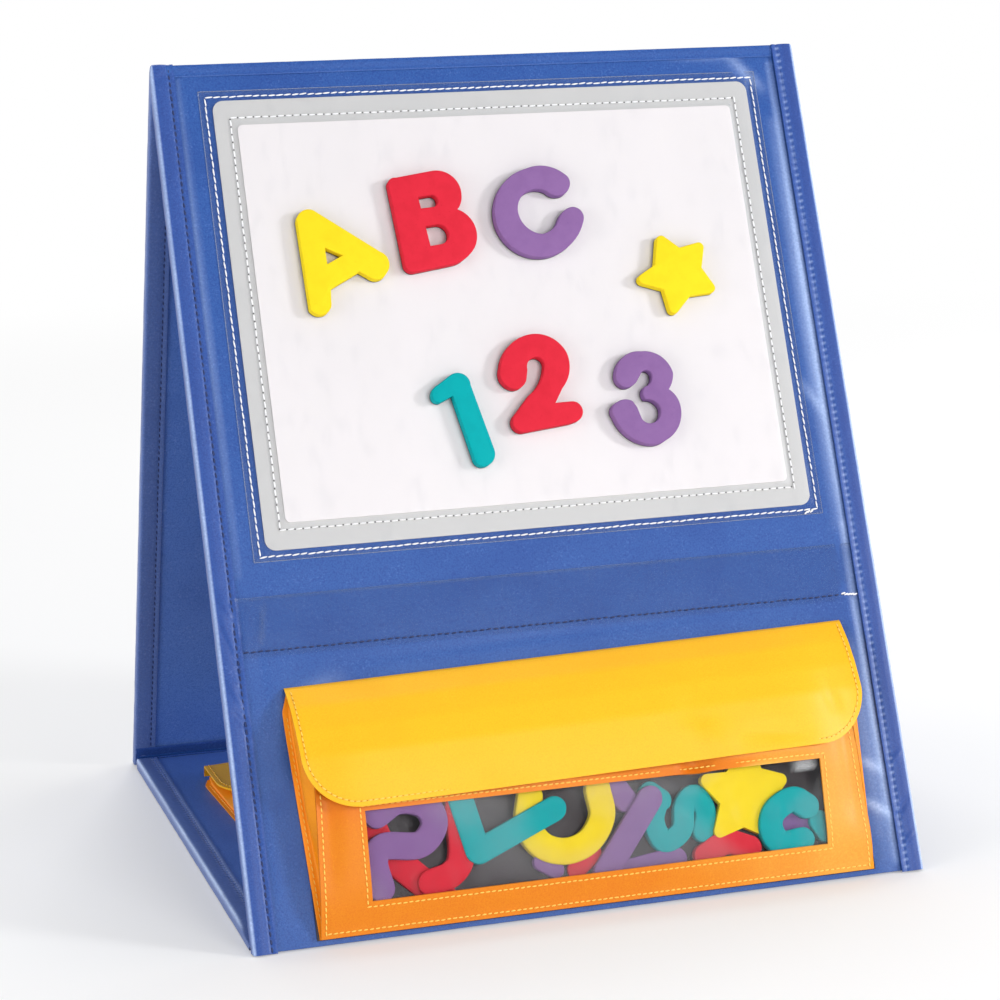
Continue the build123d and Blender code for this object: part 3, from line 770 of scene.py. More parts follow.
@dataclass(frozen=True)
class Seam:
    """A run of lock stitches, each a short thread sunk at both ends.

    The slant turns each stitch out of the seam's line, and the wander shifts it sideways.
    """

    pitch: float = 3.4
    length: float = 2.7
    width: float = 0.75
    lift: float = 0.1
    slant: float = 6.0
    wander: float = 0.08

    def run(self, route: Sequence[Point], out: Vector = Vector((0, 0, 1)),
            seed: int = 1) -> bmesh.types.BMesh:
        """Stitches along a route.

        Args:
            route: Points of the seam on the surface.
            out: Direction away from the surface.
            seed: Seed of the small differences between stitches.

        Returns:
            The stitches as one mesh.
        """
        chance = random.Random(seed)
        bm = bmesh.new()
        points = [Vector(point) for point in route]
        ahead = self.pitch / 2
        for first, second in zip(points, points[1:]):
            run = second - first
            while ahead < run.length:
                along = run.normalized()
                side = out.cross(along).normalized()
                up = along.cross(side)
                turn = radians(self.slant + chance.uniform(-3, 3))
                line = along * cos(turn) + side * sin(turn)
                spot = first + along * ahead + up * self.lift
                spot += side * chance.uniform(-self.wander, self.wander)
                axes = Matrix((line, up.cross(line), up)).transposed().to_4x4()
                length = self.length * chance.uniform(0.92, 1.06)
                size = Matrix.Diagonal((length, self.width, 0.8 * self.width, 1))
                place = Matrix.Translation(spot) @ axes @ size
                bmesh.ops.create_uvsphere(
                    bm, u_segments=6, v_segments=4, radius=0.5,
                    matrix=place @ Matrix.Rotation(pi / 2, 4, "Y"),
                )
                ahead += self.pitch
            ahead -= run.length
        return bm

    def holes(self, route: Sequence[Point], size: float, seed: int = 1) -> bmesh.types.BMesh:
        """Painted shade of the needle holes between the stitches of a route, as flat dots.

        Args:
            route: Points of the seam on the surface.
            size: Width of a hole.
            seed: Seed of the stitches that they lie between.

        Returns:
            The holes as one mesh.
        """
        gaps = Seam(self.pitch, size, size, self.lift, 0.0, self.wander)
        shifted = [Vector(route[0]), *map(Vector, route[1:])]
        start = (shifted[1] - shifted[0]).normalized() * self.pitch / 2
        shifted[0] = shifted[0] + start
        return gaps.run([tuple(point) for point in shifted], seed=seed)


@dataclass(frozen=True)
class Crease:
    """A soft ridge of a skin between two points, or a valley where its height is below 0."""

    start: Flat
    end: Flat
    width: float
    height: float

    def rise(self, x: float, y: float) -> float:
        """Height that the crease adds at a point.

        Args:
            x: Distance across.
            y: Distance along.

        Returns:
            The added height.
        """
        run = (self.end[0] - self.start[0], self.end[1] - self.start[1])
        away = (x - self.start[0], y - self.start[1])
        share = (away[0] * run[0] + away[1] * run[1]) / (run[0] ** 2 + run[1] ** 2)
        held = min(1.0, max(0.0, share))
        gap = hypot(away[0] - held * run[0], away[1] - held * run[1])
        if gap > 3 * self.width:
            return 0.0
        return self.height * (0.35 + 0.65 * sin(pi * held)) * exp(-((gap / self.width) ** 2))


POUCH_SEAM = Seam(2.7, 2.2, 0.7, 0.12, 5.0, 0.08)


# Panels

@dataclass(frozen=True)
class Skin:
    """Vinyl face of a panel over its board, drawn slightly uneven by sewing and handling."""

    name: str
    plane: Plane
    body: str
    node: str
    low: Flat
    high: Flat
    level: float = SKIN
    depth: float = 0.62
    wave: float = 0.12
    cell: float = 2.6
    creases: tuple[Crease, ...] = ()
    seed: float = 0.0
    finish: Vinyl = BLUE_VINYL
    # Strokes of painted highlight on the skin
    painted_light_marks: tuple[Crease, ...] = ()

    def height(self, x: float, y: float) -> float:
        """Height of the skin's face at a point."""
        drawn = self.wave * ripple(x, y, 46.0, self.seed) + 0.05 * ripple(x, y, 9.0, self.seed)
        return self.level + drawn + sum(crease.rise(x, y) for crease in self.creases)

    def build(self) -> None:
        """Makes the skin as a piece."""
        size = (self.high[0] - self.low[0], self.high[1] - self.low[1])

        def place(across: float, along: float) -> Point:
            """Corner of the mesh at its shares across and along."""
            x, y = self.low[0] + across * size[0], self.low[1] + along * size[1]
            return x, y, self.height(x, y)

        bm = sheet(round(size[0] / self.cell), round(size[1] / self.cell), place, self.depth)
        # Painted highlight from the skin's strokes, as the painted light attribute
        piece = finished(
            self.name, bm, self.plane, self.finish, self.body, [self.node], Slot.BLUE, 60.0,
            lambda point: sum(mark.rise(point.x, point.y) for mark in self.painted_light_marks),
        )
        cut = (size[0] * MM, size[1] * MM)
        board_of(self.body)


@dataclass(frozen=True)
class EdgeBand:
    """Vinyl strip folded round one side of a panel and sewn through near its inner edge."""

    plane: Plane
    side: Side
    reach: Flat
    width: float = BAND
    thickness: float = THICKNESS
    lip: float = 0.0
    roll: float = 0.32
    groove: float = 0.5
    pucker: float = 0.16
    bend: float = 1.7
    seed: float = 0.0
    slanted: bool = True
    taper: tuple[Flat, ...] = ()
    thread: Thread = SHADED_BLUE_THREAD
    finish: Vinyl = BLUE_BAND
    # Painted light: highlight on the outer rim and the seam's gathers, shade over the face, and an
    # even brightening, all over or on the inner side only
    rim: float = 0.5
    gather_highlight: float = 0.1
    face_shade: float = 0.0
    painted_brightening: float = 0.0
    inner_painted_brightening: float = 0.0
    dents: tuple[Crease, ...] = ()

    def ends(self, z: float) -> Flat:
        """Lowest and highest distance along at a height, where the panels lean together."""
        if not self.slanted:
            return self.reach
        return self.reach[0] - z * tan(LEAN), self.reach[1] + z / tan(LEAN)

    def share(self, y: float) -> float:
        """Part of its full thickness that the band has at a distance along."""
        return blend_of(self.taper, y) if self.taper else 1.0

    def face(self, inset: float, y: float) -> float:
        """Height of the band's face at a distance in from the edge.

        Args:
            inset: Distance in from the edge.
            y: Distance along the band.

        Returns:
            The height there.
        """
        stretch = 1 + 0.5 * ripple(y, 0.0, 34.0, self.seed)
        rolled = self.roll * stretch * exp(-(((inset - 4.6) / 2.4) ** 2))
        gather = 0.5 + 0.5 * sin(2 * pi * y / STITCH_PITCH)
        sewn = (self.groove + self.pucker * gather) * exp(-(((inset - SEAM) / 0.75) ** 2))
        wrinkle = self.pucker * ripple(y, inset, 5.0, self.seed) * exp(-(((inset - SEAM) / 3) ** 2))
        dented = sum(dent.rise(inset, y) for dent in self.dents)
        worn = wrinkle + 0.1 * ripple(y, inset, 21.0, self.seed)
        return self.lip + rolled - sewn + worn + dented

    def polish(self, point: Vector) -> float:
        """Painted highlight on the rim and the gathers, painted shade on the face, even
        brightening.

        Args:
            point: A point of the mesh.

        Returns:
            The painted light there.
        """
        inset = point.x if self.side is Side.LEFT else PANEL_WIDTH - point.x
        outward = ease(point.z, -2.8, -0.9)
        # Painted highlight along the outer rim
        rim = self.rim * exp(-(((inset - 0.7) / 0.75) ** 2)) * outward
        rim *= 0.75 + 0.25 * ripple(point.y, 0.0, 26.0, self.seed)
        # Painted highlight on the gathers beside the seam
        gather = max(0.0, sin(2 * pi * point.y / STITCH_PITCH))
        gather *= exp(-(((inset - SEAM + 0.4) / 1.1) ** 2))
        # Painted shade over the band's face
        face = exp(-(((inset - 4.2) / 2.4) ** 4)) * (0.8 + 0.2 * ripple(point.y, 9.0, 40.0, 3.0))
        # Even painted brightening, all over or on the inner side
        painted_brightening = self.painted_brightening + self.inner_painted_brightening * ease(point.z, -0.5, -0.9 * self.thickness)
        return rim + self.gather_highlight * gather * outward - self.face_shade * face + painted_brightening

    def build(self) -> bmesh.types.BMesh:
        """The folded strip as a closed mesh.

        Returns:
            The strip's mesh.
        """
        flat = self.width - self.bend
        around = 2 * flat + pi * self.thickness / 2

        def place(across: float, along: float) -> Point:
            """Corner of the mesh at its shares across and along."""
            walked = across * around
            angle = pi * min(1.0, max(0.0, (walked - flat) / (around - 2 * flat)))
            level = self.thickness / 2 * (cos(angle) - 1)
            low, high = self.ends(level)
            y = low + along * (high - low)
            thick = self.thickness * self.share(y)
            if walked <= flat:
                inset, z = self.width - walked, self.face(self.width - walked, y)
                z *= thick / self.thickness
            elif walked >= around - flat:
                inset = self.width - (around - walked)
                z = -thick - 0.4 * (self.face(inset, y) - self.lip)
            else:
                inset = self.bend * (1 - sin(angle) ** 0.6) + 0.1 * ripple(y, angle, 7.0, self.seed)
                square = abs(cos(angle)) ** 0.6 * (1 if cos(angle) > 0 else -1)
                z = thick / 2 * (square - 1)
            drop = self.thickness - thick
            x = inset if self.side is Side.LEFT else PANEL_WIDTH - inset
            return x, y, z - drop

        rows = round(abs(self.reach[1] - self.reach[0]) / 1.1)
        return sheet(42, rows, place, 0.7 if self.side is Side.LEFT else -0.7)

    def seam(self, over: float = 0.0) -> list[Point]:
        """Route of the stitches on the band's face.

        Args:
            over: Height of the stitches over their groove.

        Returns:
            The seam's points.
        """
        x = SEAM if self.side is Side.LEFT else PANEL_WIDTH - SEAM
        count = 60
        points = []
        for index in range(count + 1):
            y = self.reach[0] + (self.reach[1] - self.reach[0]) * index / count
            drop = (1 - self.share(y)) * self.thickness
            points.append((x, y, self.lip - self.groove * 0.75 + over - drop))
        return points

    def under_seam(self) -> list[Point]:
        """Route of the stitches on the band's back."""
        low, high = self.ends(-self.thickness)
        level = -self.thickness + 0.3
        return [(x, y, level) for x, y, _ in self.seam() if low + 1 < y < high - 1]


def sewn_bands(name: str, bands: Sequence[EdgeBand], body: str, nodes: Sequence[str]) -> None:
    """Makes two edge bands and the stitches that hold them, on both faces.

    Args:
        name: The bands' name.
        bands: The left and the right band.
        body: The body that they ride on.
        nodes: The CAD nodes that they stand for.
    """
    plane = bands[0].plane
    whole = joined(band.build() for band in bands)
    if not bands[0].slanted:
        for vert in whole.verts:
            vert.co.z = max(vert.co.z, 0.03 - bands[0].thickness)

    def polish(point: Vector) -> float:
        """Painted light of the band that a point belongs to."""
        return bands[0 if point.x < HALF else 1].polish(point)

    finished(name, whole, plane, bands[0].finish, body, nodes, Slot.BLUE, polish=polish)
    stitches = Seam(STITCH_PITCH, 2.7, 0.85, 0.0)
    for band in bands:
        runs = [stitches.run(band.seam(), seed=3)]
        runs.append(stitches.run(band.under_seam(), Vector((0, 0, -1)), seed=5))
        title = f"{name}_stitches_{band.side.name.lower()}"
        finished(title, joined(runs), plane, band.thread, body, (), Slot.BLUE)


def dress_node(name: str, finish: Finish) -> None:
    """Gives a CAD node its finish."""
    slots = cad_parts[name].data.materials
    slots.clear()
    slots.append(finish.material())


@dataclass(frozen=True)
class FootHem:
    """Vinyl turned under along the foot of a leaning panel."""

    name: str
    plane: Plane
    body: str
    inset: float = 1.6
    section: tuple[Flat, ...] = (
        (5.0, -1.15), (1.6, -0.95), (0.8, -1.5), (1.4, -2.9), (2.1, -4.6), (2.8, -5.6),
        (4.5, -5.9), (8.0, -5.85),
    )

    def build(self) -> None:
        """Makes the turned strip."""
        line = path_through([(0, y - PANEL_LENGTH, z) for y, z in self.section], 0.8)
        width = PANEL_WIDTH - 2 * self.inset

        def place(across: float, along: float) -> Point:
            """Corner of the mesh at its shares across and along."""
            x = self.inset + across * width
            spot = spot_on(line, along)
            return x, spot.y + 0.12 * ripple(x, 0.0, 18.0, 3.0), spot.z

        bm = sheet(150, 14, place, 0.6)
        piece = finished(self.name, bm, self.plane, BLUE_VINYL, self.body, (), Slot.BLUE, 60.0)
        cut = (width * MM, length_of(line) * MM)
        board_of(self.body)


@dataclass(frozen=True)
class FrontPanel:
    """Front panel: skins, edge bands and the creases that its sewing has drawn."""

    body: str = "front_panel"
    creases: tuple[Crease, ...] = (
        Crease((281, -5), (298, -24), 3.4, 0.75),
        Crease((290, -5), (301, -40), 2.6, -0.55),
        Crease((270, -4), (293, -13), 3.0, 0.35),
        Crease((301, -34), (301.5, -398), 4.4, 0.8),
        Crease((300, -60), (302, -120), 3.5, 0.3),
        Crease((299, -150), (303, -245), 3.5, 0.25),
        Crease((303, -246), (306, -300), 3.0, -0.4),
        Crease((296, -352), (305, -358), 3.0, 0.5),
        Crease((295, -371), (306, -379), 2.6, 0.6),
        Crease((293, -386), (306, -390), 2.4, -0.5),
        Crease((297, -396), (305, -401), 2.4, 0.45),
        Crease((13, -4), (25, -9), 3.0, 0.3),
        Crease((14, -20), (14, -240), 3.0, 0.16),
        Crease((12, -251), (15, -276), 2.2, 0.45),
        Crease((17, -262), (19, -300), 2.4, -0.25),
        Crease((13, -300), (16, -396), 3.2, 0.2),
        Crease((60, -282), (250, -276.5), 2.2, -0.2),
    )
    # Strokes of painted highlight on the skin: beside the right seam, on creases near the top,
    # beside the left band and beside the pouch
    painted_light_marks: tuple[Crease, ...] = (
        Crease((304.6, -10), (305.6, -250), 1.6, 0.62),
        Crease((302.0, -40), (303.0, -240), 3.2, 0.3),
        Crease((296.0, -170), (304.0, -186), 2.0, 0.3),
        Crease((305.0, -240), (305.5, -400), 1.6, 0.6),
        Crease((300.0, -300), (302.0, -402), 5.0, 0.25),
        Crease((296, -352), (305, -358), 2.0, 0.5),
        Crease((295, -371), (306, -379), 2.0, 0.6),
        Crease((284, -6), (299, -22), 2.6, 0.4),
        Crease((250, -4), (290, -6), 2.0, 0.2),
        Crease((12.6, -8), (13.4, -240), 1.2, 0.25),
        Crease((30, -300), (52, -290), 5.0, 0.2),
    )
    left_dents: tuple[Crease, ...] = (
        Crease((1, -258), (9, -284), 1.5, -0.8),
        Crease((3, -246), (10, -262), 1.4, 0.6),
        Crease((2, -282), (9, -300), 1.3, 0.6),
        Crease((4, -300), (10, -309), 1.2, -0.6),
        Crease((2, -8), (9, -4), 1.6, -0.4),
    )
    right_dents: tuple[Crease, ...] = (
        Crease((2, -350), (10, -357), 1.4, 0.5),
        Crease((3, -372), (10, -381), 1.3, -0.6),
        Crease((2, -388), (9, -394), 1.3, 0.5),
    )

    def build(self) -> None:
        """Makes the panel's skins, bands and seams."""
        reach = (-PANEL_LENGTH + 1.0, -2.6)
        Skin(
            "front_skin", FRONT, self.body, "front_cover", (INSET, reach[0]),
            (PANEL_WIDTH - INSET, reach[1]), creases=self.creases, cell=1.8,
            painted_light_marks=self.painted_light_marks,
        ).build()
        Skin(
            "front_inner_skin", FRONT_INNER, self.body, "front_lining", (INSET, reach[0] + 3.0),
            (PANEL_WIDTH - INSET, INNER_TOP), wave=0.2, cell=4.0, seed=4.0,
        ).build()
        reach = (-PANEL_LENGTH + 0.2, -0.4)
        # Bands with painted highlight on rims and gathers and painted shade over their faces
        bands = [
            EdgeBand(FRONT, Side.LEFT, reach, seed=1.5, rim=0.95, face_shade=0.25, dents=self.left_dents),
            EdgeBand(
                FRONT, Side.RIGHT, reach, seed=7.5, thread=LIT_THREAD, rim=1.1, gather_highlight=0.45,
                face_shade=0.6, dents=self.right_dents,
            ),
        ]
        sewn_bands("front_edge_bands", bands, self.body, ["front_bindings"])
        dress_node("front_board", CHIPBOARD)
        FootHem("front_foot_hem", FRONT, self.body).build()


@dataclass(frozen=True)
class WriteOnBoard:
    """Magnetic board: grey sheet, raised white sheet and the clear cover sewn over both."""

    cover: tuple[Flat, Flat] = ((21.0, -234.3), (296.0, -13.5))
    backing: tuple[Flat, Flat] = ((27.0, -229.5), (290.5, -18.5))
    writing: tuple[Flat, Flat] = ((37.3, -217.5), (280.1, -30.7))
    outer_seam: tuple[Flat, Flat] = ((24.0, -232.0), (293.5, -16.5))
    inner_seam: tuple[Flat, Flat] = ((34.3, -220.6), (283.2, -27.0))
    film: float = 0.25
    backing_rise: float = 0.8
    writing_rise: float = 0.9
    cells: tuple[int, int] = (210, 168)
    hem: float = 0.4
    # Loose white thread ends; the first, at the card strip's right end, also stands in for a white
    # glint there, a painted highlight
    tails: tuple[tuple[Point, Point], ...] = (
        ((299.0, -273.4, SKIN + 0.3), (306.4, -274.4, SKIN + 0.5)),
        ((291.0, -232.6, SKIN + 0.3), (286.0, -233.6, SKIN + 0.3)),
    )
    body: str = "front_panel"

    @staticmethod
    def depth_in(area: tuple[Flat, Flat], x: float, y: float) -> float:
        """Distance of a point inside the nearest side of an area, below 0 outside it."""
        (left, bottom), (right, top) = area
        return min(x - left, right - x, y - bottom, top - y)

    def height(self, x: float, y: float) -> float:
        """Height of the clear cover's face at a point.

        Args:
            x: Distance across the panel.
            y: Distance along it.

        Returns:
            The height there.
        """
        on_backing = ease(self.depth_in(self.backing, x, y), -1.3, 0.2)
        on_writing = ease(self.depth_in(self.writing, x, y), -1.6, 0.1)
        outer = exp(-((self.depth_in(self.outer_seam, x, y) / 0.9) ** 2))
        slack = 0.12 * max(0.0, ripple(x, y, 30.0, 9.0)) * ease(
            self.depth_in(self.writing, x, y), -4.0, 12.0
        )
        level = SKIN + self.film + 0.14
        rise = self.backing_rise * on_backing + self.writing_rise * on_writing
        return level + rise + slack - 0.1 * outer

    def route(self, area: tuple[Flat, Flat]) -> list[Point]:
        """Rectangular seam round an area, on the cover."""
        (left, bottom), (right, top) = area
        corners = [(left, top), (right, top), (right, bottom), (left, bottom), (left, top)]
        return [(x, y, self.height(x, y)) for x, y in corners]

    def build(self) -> None:
        """Makes the clear cover and its white seams, and dresses the sheets under it."""
        (left, bottom), (right, top) = self.cover

        def hemmed(share: float, low: float, high: float, count: int) -> float:
            """Place along a side whose outermost cells are narrow."""
            if round(share * count) == 1:
                return low + self.hem
            if round(share * count) == count - 1:
                return high - self.hem
            return low + share * (high - low)

        def place(across: float, along: float) -> Point:
            """Corner of the mesh at its shares across and along."""
            x = hemmed(across, left, right, self.cells[0])
            y = hemmed(along, bottom, top, self.cells[1])
            return x, y, self.height(x, y)

        bm = sheet(*self.cells, place, self.film)
        cover = finished(
            "board_clear_cover", bm, FRONT, CLEAR_FILM, self.body, ["board_cover_sheet"],
            Slot.CLEAR, 60.0,
            # Painted highlight along the cover's cut edge, as denser film
            lambda point: 0.45 * ease(self.depth_in(self.cover, point.x, point.y), 0.45, 0.1),
        )
        outer = Seam(3.7, 3.7, 0.78, 0.12, 6.0, 0.14)
        inner = Seam(3.7, 3.3, 0.85, 0.14, 2.0, 0.12)
        runs = [
            outer.run(self.route(self.outer_seam), seed=11),
            inner.run(self.route(self.inner_seam), seed=12),
        ]
        loose = Seam(1.5, 2.4, 0.9, 0.4, 24.0, 0.3)
        runs += [loose.run(tail, seed=13 + index) for index, tail in enumerate(self.tails)]
        finished("board_stitches", joined(runs), FRONT, WHITE_THREAD, self.body)
        holes = inner.holes(self.route(self.inner_seam), 0.7, 12)
        finished("board_needle_holes", holes, FRONT, HOLE_SHADE, self.body)
        dress_node("write_on_board", WHITE_BOARD)
        dress_node("board_backing", GREY_SHEET)
        dress_node("steel_sheet", STEEL)


@dataclass(frozen=True)
class CardPockets:
    """Clear strips that hold cards, each sewn along its foot and free along its top."""

    name: str
    plane: Plane
    body: str
    node: str
    rows: tuple[Flat, ...]
    finish: ClearFilm
    curl: float = 0.0
    span: Flat = (10.0, PANEL_WIDTH - 11.0)
    film: float = 0.3
    seam_rise: float = 2.6

    def build(self) -> None:
        """Makes the strips and the seam of each."""
        strips, seams = [], []
        for index, (top, foot) in enumerate(self.rows):
            strips.append(self.strip(top, foot, index))
            line = foot - self.seam_rise
            route = [(self.span[0] + 1, -line, SKIN + 0.3), (self.span[1] - 1, -line, SKIN + 0.3)]
            seams.append(Seam(3.3, 2.5, 0.85, 0.2, 4.0, 0.14).run(route, seed=20 + index))
        piece = finished(
            self.name, joined(strips), self.plane, self.finish, self.body, [self.node],
            Slot.CLEAR, 60.0, self.polish,
        )
        width = (self.span[1] - self.span[0]) * MM
        length = sum(foot - top for top, foot in self.rows) * MM
        finished(
            f"{self.name}_stitches", joined(seams), self.plane, SHADED_BLUE_THREAD, self.body, (),
            Slot.BLUE,
        )

    def polish(self, point: Vector) -> float:
        """Painted highlight along the free upper edges and on a wrinkle near the left end."""
        # Painted highlight along each free upper edge
        top = max(0.16 * exp(-(((point.y + top) / 0.5) ** 2)) for top, _ in self.rows)
        # Painted highlight of a wrinkle near the left end
        wrinkle = Crease((23, -self.rows[0][0] - 3), (20, -self.rows[0][0] - 21), 1.0, 0.16)
        return top + wrinkle.rise(point.x, point.y)

    def strip(self, top: float, foot: float, index: int) -> bmesh.types.BMesh:
        """One clear strip, seated at its seam and standing off a little above it.

        Args:
            top: Distance of the free edge from the ridge.
            foot: Distance of the sewn edge from the ridge.
            index: The strip's number.

        Returns:
            The strip's mesh.
        """

        def place(across: float, along: float) -> Point:
            """Corner of the mesh at its shares across and along."""
            x = self.span[0] + across * (self.span[1] - self.span[0])
            y = -foot + along * (foot - top)
            above = ease(y, -foot + self.seam_rise, -foot + 12.0)
            drift = 0.25 * above * (1 + ripple(x, y, 60.0, 30.0 + index))
            bent = self.curl * exp(-(x - self.span[0]) / 2.5) * (0.4 + 0.6 * above)
            return x, y, SKIN + self.film + 0.06 + drift + bent

        return sheet(180, 14, place, self.film)


@dataclass(frozen=True)
class RearPanel:
    """Rear panel: skins and edge bands, and clear card pockets on its outer face."""

    body: str = "rear_panel"
    creases: tuple[Crease, ...] = (
        Crease((14, -12), (30, -30), 4.0, 0.4),
        Crease((300, -14), (286, -34), 4.0, 0.4),
        Crease((15, -380), (34, -396), 4.0, 0.45),
        Crease((303, -378), (280, -397), 4.0, 0.4),
        Crease((120, -398), (210, -394), 3.0, 0.3),
    )

    def build(self) -> None:
        """Makes the panel's skins, bands, card pockets and seams."""
        reach = (-PANEL_LENGTH + 1.0, -2.6)
        Skin(
            "rear_skin", REAR, self.body, "rear_cover", (INSET, reach[0]),
            (PANEL_WIDTH - INSET, reach[1]), creases=self.creases, cell=3.2, seed=2.0,
        ).build()
        inner_creases = (
            Crease((12, -392), (200, -390), 3.0, 0.35),
            Crease((12, -385), (300, -383), 3.0, -0.2),
        )
        # The inner skin takes the brighter copy of the blue vinyl, as painted light
        Skin(
            "rear_inner_skin", REAR_INNER, self.body, "rear_lining", (INSET, reach[0] + 3.0),
            (PANEL_WIDTH - INSET, INNER_TOP), wave=0.3, cell=3.2, seed=6.0, creases=inner_creases,
            finish=LIT_INNER_BLUE,
        ).build()
        # Bands with painted brightening on their inner side, like the brighter inner skin
        bands = [
            EdgeBand(
                REAR, side, (-PANEL_LENGTH + 0.2, -0.4), seed=seed, inner_painted_brightening=0.13, rim=0.3
            )
            for side, seed in ((Side.LEFT, 11.5), (Side.RIGHT, 17.5))
        ]
        sewn_bands("rear_edge_bands", bands, self.body, ["rear_bindings"])
        dress_node("rear_board", CHIPBOARD)
        FootHem("rear_foot_hem", REAR, self.body).build()
        rows = tuple((top, top + 42.0) for top in (62.0, 142.0, 222.0, 302.0))
        CardPockets(
            "rear_card_strips", REAR, self.body, "rear_card_pockets", rows, STRIP_FILM
        ).build()


@dataclass(frozen=True)
class FoldStrips:
    """Vinyl folds that join the rear panel to the front panel and to the base."""

    lap: float = 5.2
    width: float = PANEL_WIDTH - 1.6
    tight: float = 0.32
    proud: float = 0.14

    def build(self) -> None:
        """Makes both folds."""
        self.build_ridge()
        self.build_foot()

    def build_ridge(self) -> None:
        """Fold over the ridge."""
        reach = self.lap * sin(LEAN)

        def place(across: float, along: float) -> Point:
            """Corner of the mesh at its shares across and along."""
            x = (across - 0.5) * self.width
            y = (2 * along - 1) * reach
            corner = 1.6 * (exp(-(x + HALF) / 2.0) + exp(-(HALF - x) / 2.0))
            worn = 0.14 * ripple(x, y, 7.0, 2.0) + 0.1 * ripple(x, y, 23.0, 5.0)
            top = RIDGE + 0.1 - hypot(y, self.tight) / tan(LEAN)
            sunk = 0.95 * ease(abs(y), 0.3 * reach, 0.85 * reach)
            return x, y, top + self.proud + worn * 0.5 - corner - sunk

        bm = sheet(220, 26, place, 0.4)
        strip = finished(
            "ridge_fold_strip", bm, WORLD, BLUE_VINYL, None, ["ridge_strip"], Slot.BLUE, 75.0
        )
        cut = (self.width * MM, 2 * self.lap * MM)
        start, end = Vector((0, reach * MM, RIDGE * MM)), Vector((0, -reach * MM, RIDGE * MM))
        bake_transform(strip)
        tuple(start)
        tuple(end)

    def build_foot(self) -> None:
        """Fold from the base's rear edge up the inner face of the rear panel."""
        foot = BASE_DEPTH / 2
        section = path_through([
            (0, foot - 15.0, THICKNESS + 0.1), (0, foot - 12.6, THICKNESS - 0.6),
            (0, foot - 10.2, 2.7), (0, foot - 8.4, 2.2), (0, foot - 7.9, 4.2),
            (0, foot - 9.2, 7.2), (0, foot - 10.6, 10.2),
        ], 0.8)

        def place(across: float, along: float) -> Point:
            """Corner of the mesh at its shares across and along."""
            x = (across - 0.5) * self.width
            spot = spot_on(section, along)
            wobble = 0.25 * ripple(x, along * 20, 24.0, 8.0)
            return x, spot.y + wobble * 0.4, spot.z + wobble

        bm = sheet(90, 28, place, 0.7)
        strip = finished(
            "rear_foot_fold", bm, WORLD, BLUE_BAND, None, ["rear_hinge_strip", "base_rear_margin"],
            Slot.BLUE, 75.0,
        )
        cut = (self.width * MM, length_of(section) * MM)
        start, end = Vector((0, (foot - 9.2) * MM, 0.006)), Vector((0, (foot - 9.0) * MM, 0.0022))
        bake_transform(strip)
        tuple(start)
        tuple(end)


@dataclass(frozen=True)
class BasePanel:
    """Base: lining, underside, edge bands and the soft front margin with its loop tape."""

    body: str = "base_panel"
    board: Flat = (46.0, 295.0)
    margin_tip: float = 8.5
    margin_inset: float = 6.0
    margin_lap: float = 4.0
    tape: tuple[Flat, Flat] = ((12.0, 14.0), (PANEL_WIDTH - 12.0, 32.0))

    def build(self) -> None:
        """Makes the base's skins, bands, margin and tape."""
        creases = (Crease((13, 60), (13, 290), 2.6, 0.3), Crease((14, 284), (300, 287), 3.0, 0.3))
        # The lining takes the brighter copy of the blue vinyl, as painted light
        Skin(
            "base_lining_skin", BASE, self.body, "base_lining", (INSET, self.board[0] - 1.0),
            (PANEL_WIDTH - INSET, self.board[1] - 0.5), creases=creases, cell=3.4, seed=12.0,
            finish=LIT_INNER_BLUE,
        ).build()
        Skin(
            "base_under_skin", BASE_UNDER, self.body, "base_cover", (INSET, self.board[0] - 1.0),
            (PANEL_WIDTH - INSET, self.board[1] - 0.5), level=SKIN + 0.25, wave=0.1, cell=5.0,
            seed=14.0, depth=0.5,
        ).build()
        taper = ((8.0, 0.32), (20.0, 0.45), (34.0, 0.95), (40.0, 1.0))
        # Bands with painted highlight on rims and gathers and an even painted brightening
        bands = [
            EdgeBand(
                BASE, side, (self.margin_tip, self.board[1] - 1.5), seed=seed, taper=taper,
                roll=0.12, bend=1.3, pucker=0.3, slanted=False, thread=LIT_THREAD, rim=1.0,
                gather_highlight=0.8, painted_brightening=0.13,
            )
            for side, seed in ((Side.LEFT, 21.5), (Side.RIGHT, 27.5))
        ]
        sewn_bands("base_edge_bands", bands, self.body, ["base_bindings"])
        dress_node("base_board", CHIPBOARD)
        self.build_margin()

    def build_margin(self) -> None:
        """Soft margin in front of the board, with its loop tape."""
        width = PANEL_WIDTH - 2 * self.margin_inset
        length = self.board[0] + self.margin_lap - self.margin_tip

        def place(across: float, along: float) -> Point:
            """Corner of the mesh at its shares across and along."""
            x, y = self.margin_inset + across * width, self.margin_tip + along * length
            over = ease(y, self.board[0] - 9.0, self.board[0] - 1.0)
            return x, y, 1.2 - THICKNESS + 3.6 * over + 0.08 * ripple(x, y, 30.0, 16.0)

        bm = sheet(110, 18, place, 0.9)
        piece = finished(
            "base_front_margin_sheet", bm, BASE, BLUE_VINYL, self.body, ["base_front_margin"],
            Slot.BLUE, 60.0,
        )
        tape = plate(rounded(*self.tape, 0.6), -4.6, -3.4, 0.3)
        finished(
            "closure_loop_pile", tape, BASE, LOOP_PILE, self.body, ["closure_loop_tape"], Slot.LOOP
        )


